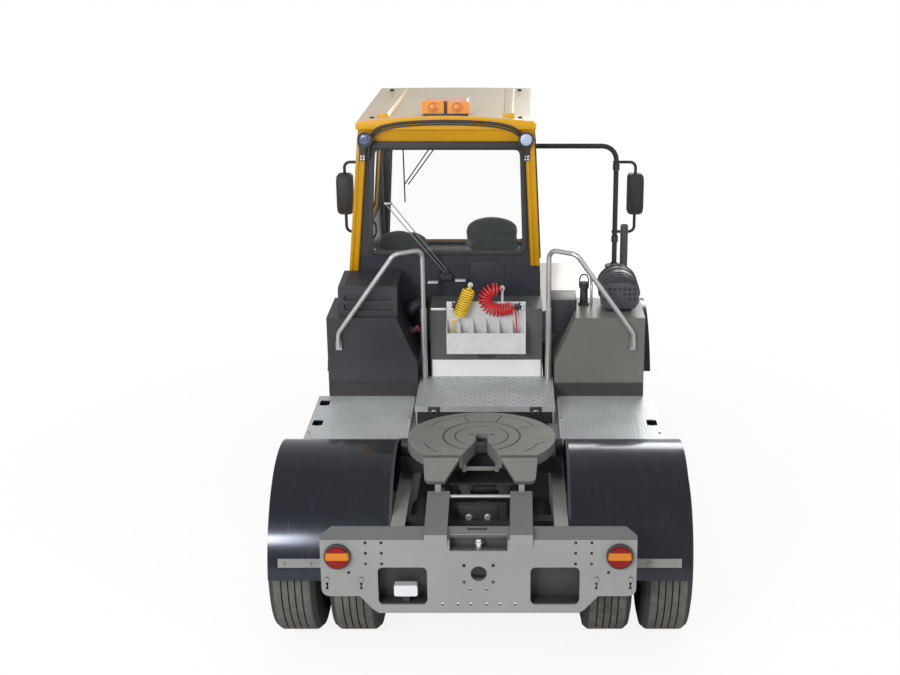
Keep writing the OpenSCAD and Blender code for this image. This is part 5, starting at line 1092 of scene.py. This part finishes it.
depth = cleaner["y"][1] - cleaner["y"][0] - 0.012
pieces = [drawPlate("cleaner_case", cleanerOutline(cleaner["y"][0] + 0.012, -0.006), (0, depth, 0), 0.008, 3)]
for y in (-0.100, -0.052, 0.06, 0.15):
    pieces.append(drawPlate("cleaner_band", cleanerOutline(y, 0.0), (0, 0.016, 0), 0.003))
pieces.append(addBox("cleaner_feet", (0.832, -0.09, 1.5245), (1.012, 0.14, 1.536), 0.003))
valveBox = [(0.452, 1.360), (0.5415, 1.360), (0.6085, 1.5245), (0.628, 1.5245), (0.628, 1.602), (0.452, 1.602)]
pieces.append(drawPlate("valve_box", [(x, -0.0995, z) for x, z in valveBox], (0, 0.249, 0), 0.006, 3))
case = wear(joined(pieces, "air_cleaner_case"), coverPlastic)
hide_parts("air_cleaner")
face = [(0.812, 1.548), (1.032, 1.548), (1.058, 1.600), (1.050, 1.705), (0.985, 1.735), (0.860, 1.735),
        (0.794, 1.705), (0.786, 1.600)]
corners = roundCorners([(x, -0.1235, z) for x, z in face], 0.02, 4)
wear(drawPlate("cleaner_face", corners, (0, -0.012, 0), 0.004, 3), facePlastic)
# the holes are thin dark discs on the face: painted shade in place of openings
dots = []
for row, z in enumerate((1.690, 1.655, 1.620)):
    for i in range(-3, 4):
        if row == 0 or abs(i) >= row + (0 if i > 0 else 1):
            x = cleaner["x"] + i * 0.0345
            dots.append(addDrum("cleaner_hole", (x, -0.1345, z), (x, -0.1362, z), 0.0125, 20, 0.0004))
wear(joined(dots, "cleaner_holes"), sealRubber)

hatch = {"x": (-0.115, 0.125), "z": (1.585, 1.785)}
corners = upright(hatch["x"], 0.2305, hatch["z"])
wear(drawPlate("rear_hatch", roundCorners(corners, 0.016), (0, -0.004, 0), 0.0015), cabRear)
boltAll("rear_hatch_bolts", [(x, 0.2265, z) for x in (-0.10, 0.11) for z in (1.60, 1.77)], (0, -1, 0), blackPlastic,
        size=0.5)
strips = [((-0.420, 0.150, 1.648), (-0.345, 0.2, 1.656)), ((-0.225, 0.150, 1.662), (-0.150, 0.2, 1.670)),
          ((-0.385, -0.112, 1.530), (-0.277, -0.1045, 1.546))]
wear(joined([addBox("panel_strip", a, b, 0.002) for a, b in strips], "panel_strips"), galvanised)
slotCorners = upright((-0.060, 0.064), -0.1055, (1.188, 1.214))
wear(addRing("panel_slot", slotCorners, 0.008, 0.006, 0.004, (0, -1, 0)), blackPlastic)
print("rear fittings done")

# Fifth wheel: bar across the throat
bar = {"half": 0.086, "y": (-1.868, -1.838), "z": (1.086, 1.104)}
crossBar = [addBox("throat_bar", (-bar["half"], bar["y"][0], bar["z"][0]), (bar["half"], bar["y"][1], bar["z"][1]),
                   0.004),
            *[addBox("throat_bar_end", (s * 0.096 - 0.012, bar["y"][0] - 0.006, bar["z"][0] - 0.006),
                     (s * 0.096 + 0.012, bar["y"][1] + 0.006, 1.118), 0.003) for s in (-1, 1)]]
wear(joined(crossBar, "throat_bar"), fifthCast, "fifth_wheel")

# Hooks at the platform's rear edge, and a dark sheet below it as painted shade
hook = {"x": 0.338, "y": -0.7085, "z": 1.046}
parts = []
for s in (-1, 1):
    x, y, z = s * hook["x"], hook["y"], hook["z"]
    outline = [(-0.040, 0.002), (0.040, 0.002), (0.040, 0.030), (0.022, 0.052), (-0.022, 0.052), (-0.040, 0.030)]
    outline = [(x + a, y, z - drop) for a, drop in outline]
    parts.append(drawPlate("hook_plate", outline, (0, -0.006, 0), 0.0015))
wear(joined(parts, "platform_hook_plates"), blackPlastic)
loop = [(-0.018, -0.714, 1.000), (-0.018, -0.728, 1.018), (0, -0.732, 1.026), (0.018, -0.728, 1.018),
        (0.018, -0.714, 1.000)]
parts = [addTube("hook_loop", [(s * hook["x"] + a, y, z) for a, y, z in loop], 0.006) for s in (-1, 1)]
wear(joined(parts, "platform_hook_loops"), railMetal)
# a black sheet below the platform: painted shade
shade = addBox("platform_shade", (-0.432, -0.682, 0.996), (0.432, -0.130, 1.000), 0.001)
wear(shade, sealRubber)
print("hooks done")

# Front lamps: bezels, lenses and turn lamps on the bumper's corners
lampLow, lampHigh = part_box("headlamps")
lampR = (lampHigh.z - lampLow.z) / 2
lampZ = (lampHigh.z + lampLow.z) / 2
lampX = lampHigh.x - lampR
corner = {"z": (0.585, 0.635), "long": 0.055}
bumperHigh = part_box("front_bumper")[1]
turnRun = 0.120  # how far the bumper's corners fall back
for word, s in hands.items():
    centre = Vector((s * lampX, lampHigh.y, lampZ))
    bezel = [(-0.008, lampR - 0.001), (-0.0015, lampR - 0.002), (0.0005, lampR - 0.006), (0.0005, lampR - 0.013),
             (-0.001, lampR - 0.014)]
    wear(turned("headlamp_bezel_" + word, centre, bezel, 48), blackPlastic)
    bowl = [(0.0004, 0), (0.0006, 0.018), (0.0006, 0.022), (0.0004, 0.026), (0.0004, lampR - 0.015)]
    wear(turned("headlamp_lens_" + word, centre, bowl, 48), headLens)
    inner = Vector((s * (bumperHigh.x - 0.150), bumperHigh.y, 0))
    outer = Vector((s * bumperHigh.x, bumperHigh.y - turnRun, 0))
    along = (outer - inner).normalized()
    out = Vector((-along.y * s, along.x * s, 0))
    middle = inner.lerp(outer, 0.5)
    corners = [middle + along * a + Vector((0, 0, z)) for a, _, z in
               upright((-corner["long"], corner["long"]), 0, corner["z"])]
    turnLamp = drawPlate("turn_lamp_" + word, roundCorners(corners, 0.012), out * 0.010, 0.003)
    wear(turnLamp, amberLens)

# Bands round the fuel tank
tankLow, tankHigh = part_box("fuel_tank")
tank = {"x": (-1.0932, -0.6268), "z": (0.3968, 0.7032), "round": 0.095, "wide": 0.040}
bands = []
for y in (tankLow.y + 0.12, (tankLow.y + tankHigh.y) / 2, tankHigh.y - 0.16):
    corners = upright(tank["x"], y, tank["z"])
    bands.append(addRing("tank_band", corners, tank["round"], 0.005, tank["wide"], (0, 1, 0)))
wear(joined(bands, "tank_bands"), darkPaint)
print("front and tank done")

# Wheel nuts
nut = addDrum("wheel_nut", (0, 0, 0), (0, 0, 0.026), 0.018, 6, 0.002)
for word, s in hands.items():
    for end, axle, x, radius, body in (("rear", rearAxle, rearX + 0.031, 0.1675, "rear_%s_wheels" % word),
                                       ("front", frontAxle, frontX + 0.086, 0.1675, "front_%s_wheel" % word)):
        places = []
        for k in range(10):
            a = 2 * math.pi * (k + 0.5) / 10
            places.append(((s * x, axle.y + radius * math.cos(a), axle.z + radius * math.sin(a)), (s, 0, 0)))
        wear(scatter("%s_%s_nuts" % (end, word), nut, places), zinc, body)
discard(nut)

# Tread plates: raised lozenges, bolts
tread = {"x": (0.515, 1.040), "y": (-1.125, -0.285), "pitch": 0.036, "z": 0.9561}
for word, s in hands.items():
    sets = []
    for turn, shift in ((45, 0.0), (-45, 0.5)):
        lozenge = addBox("lozenge", (-0.012, -0.003, -0.001), (0.012, 0.003, 0.0014), 0.001, 1)
        slip = shift * tread["pitch"]
        start = Matrix.Translation((s * tread["x"][0] + s * slip, tread["y"][0] + slip, tread["z"]))
        lozenge.data.transform(start @ Matrix.Rotation(math.radians(turn), 4, "Z"))
        for axis, span in ((0, tread["x"]), (1, tread["y"])):
            step = [0.0, 0.0, 0.0]
            step[axis] = s * tread["pitch"] if axis == 0 else tread["pitch"]
            modify(lozenge, "ARRAY", use_relative_offset=False, use_constant_offset=True,
                   constant_offset_displace=step, count=int((span[1] - span[0]) / tread["pitch"]))
        sets.append(lozenge)
    wear(joined(sets, "deck_lozenges_" + word), treadMetal)
deckBolts = [(0.503, -1.10), (0.503, -0.70), (0.503, -0.31), (1.142, -1.10), (1.142, -0.95)]
boltAll("deck_bolts", mirrored([(x, y, 0.956) for x, y in deckBolts]), (0, 0, 1), size=0.8)

# Bumper, ramps and mudguards: bolts and lamp rims
guardBolts = mirrored([(x, -2.2648, 0.689) for x in (0.60, 0.78, 0.96, 1.11)])
boltAll("guard_bolts", guardBolts, (0, -0.968, 0.25), framePaint, size=0.55)
for word, s in hands.items():
    centre = Vector((s * 0.775, -2.470, 0.842))
    rim = [(-0.001, 0.0745), (-0.016, 0.0745), (-0.024, 0.071), (-0.024, 0.0665), (-0.010, 0.066)]
    wear(turned("tail_lamp_rim_" + word, centre, rim, 48), blackPlastic)
pin = {"y": -2.428, "low": 0.8725}
sleeve = [(r, pin["y"], z) for r, z in (
    (0.0185, pin["low"]), (0.0185, 0.902), (0.026, 0.904), (0.027, 0.912), (0.0185, 0.914), (0.0175, 0.924),
    (0.012, 0.928), (0.0, 0.928))]
wear(spinLine("notch_pin_sleeve", sleeve, (0, pin["y"], 0.9), (0, 0, 1), 36), chrome)
slot = {"x": -0.008, "y": -2.400, "reach": 0.046, "big": 0.010}
bone = []
for s, first in ((1, -135), (-1, 45)):  # two round ends on a narrow neck
    for a in [math.radians(d) for d in range(first, first + 271, 30)]:
        bone.append((slot["x"] + s * slot["reach"] + slot["big"] * math.cos(a), slot["big"] * math.sin(a)))
fold = 0.041 / 0.088
outline = [(x, slot["y"] + d * 0.91, 0.938 + (slot["y"] + d * 0.91 + 2.470) * fold + 0.0004) for x, d in bone]
# the slot is a thin dark plate on the flange: painted shade in place of an opening
wear(drawPlate("flange_slot", outline, (0, -0.0003, 0.0007), 0), sealRubber)
necks = [addBox("ramp_neck", (x - 0.017, -2.097, 1.042), (x + 0.017, -2.087, 1.100), 0.003)
         for x in (-0.238, 0.238)]
wear(joined(necks, "ramp_necks"), bumperPaint)
tie = addTube("ramp_tie_bar", [(x, -2.100, 1.030) for x in (-0.2185, -0.11, 0.0, 0.11, 0.2185)], 0.0105)
wear(tie, railMetal)
cover = {"x": (-0.131, 0.103), "z": (0.860, 0.985), "y": -2.1215}
corners = upright(cover["x"], cover["y"], cover["z"])
wear(drawPlate("beam_cover", roundCorners(corners, 0.02), (0, -0.005, 0), 0.0015), darkPaint)
boltAll("beam_cover_bolts", [(x, cover["y"] - 0.005, 0.913) for x in (-0.063, 0.045)], (0, -1, 0), size=1.3)
skirt = {"x": (0.503, 0.5205), "r": (0.612, 0.6195), "from": 4.9, "sweep": 170.2}
strips = []
for s in (-1, 1):
    a = math.radians(skirt["from"])
    corners = [(s * x, rearAxle.y - r * math.cos(a), rearAxle.z + r * math.sin(a)) for x, _, r in
               upright(skirt["x"], 0, skirt["r"])]
    strip = drawLine("guard_strip", corners, close=True)
    editAll()
    bpy.ops.mesh.spin(steps=60, angle=math.radians(skirt["sweep"]), center=rearAxle, axis=(1, 0, 0))
    closeEdit()
    strips.append(smooth(strip))
wear(joined(strips, "guard_edge_strips"), sealRubber)
print("tail done")

discard(boltSet)

# Floor, backdrop and light
bpy.ops.mesh.primitive_plane_add(size=80, location=(0, 0, -0.001))
floor = settle("floor")
floorFinish, floorShader, floorPlace = newFinish("floor_white", rough=0.9, level=0.0)
across = floorPlace.axis(0)
under = (1 - (across * across).step(0.5, 1.2)) * floorPlace.axis(1).between(-1.25, 2.1, 0.15)  # painted shadow on the floor below the frame
feed(floorShader, colour=under.blend((0.86, 0.86, 0.86), (0.10, 0.10, 0.10)))
floorTree = floorFinish.node_tree
rays = Wire(floorTree, floorTree.nodes.new("ShaderNodeLightPath").outputs["Is Camera Ray"])
white = floorTree.nodes.new("ShaderNodeEmission")
mixer = floorTree.nodes.new("ShaderNodeMixShader")
away = floorPlace.node("VectorMath", {"operation": "LENGTH"}, out=1, s0=floorPlace).step(2.6, 5.0)
floorTree.links.new((rays * (0.88 + away * 0.12) * (1 - under)).socket, mixer.inputs[0])
floorTree.links.new(floorShader.outputs[0], mixer.inputs[1])
floorTree.links.new(white.outputs[0], mixer.inputs[2])
floorTree.links.new(mixer.outputs[0], floorTree.nodes["Material Output"].inputs[0])
floor.data.materials.append(floorFinish)

world = bpy.data.worlds.new("studio")
bpy.context.scene.world = world
world.use_nodes = True
path = world.node_tree.nodes.new("ShaderNodeLightPath")
seen = [Wire(world.node_tree, path.outputs["Is %s Ray" % word]) for word in ("Camera", "Glossy", "Transmission")]
backdrop = world.node_tree.nodes["Background"]
backdrop.inputs["Color"].default_value = (1, 1, 1, 1)
studioLevel = {"diffuse": 0.47, "camera": 0.53, "glossy": 0.08, "through": 0.53}
level = (seen[0] * studioLevel["camera"] + seen[1] * studioLevel["glossy"] + seen[2] * studioLevel["through"]
         + studioLevel["diffuse"])
world.node_tree.links.new(level.socket, backdrop.inputs["Strength"])

lamps = {"rear_left_soft": {"place": (-5.5, -8.5, 5.5), "aim": (0, -0.5, 1.0), "size": (3.5, 3.0), "power": 390},
         "rear_right_soft": {"place": (6.0, -7.5, 5.0), "aim": (0, -0.5, 1.0), "size": (3.0, 3.0), "power": 110},
         "guard_band": {"place": (-3.0, -9.7, 4.7), "aim": (-0.95, -2.2, 0.85), "size": (1.0, 1.4), "power": 300},
         "top_soft": {"place": (0, 0, 8.0), "aim": (0, 0, 0), "size": (6.0, 7.0), "power": 230},
         "front_soft": {"place": (3.0, 9.0, 5.0), "aim": (0, 1.0, 1.2), "size": (5.0, 3.5), "power": 320}}
for name, lamp in lamps.items():
    aim = Vector(lamp["aim"]) - Vector(lamp["place"])
    bpy.ops.object.light_add(type="AREA", location=lamp["place"], rotation=aim.to_track_quat("-Z", "Y").to_euler())
    light = bpy.context.object
    light.name = name
    light.data.shape = "RECTANGLE"
    light.data.size, light.data.size_y = lamp["size"]
    light.data.energy = lamp["power"]
    light.visible_glossy = name != "top_soft"
print("stage lit")
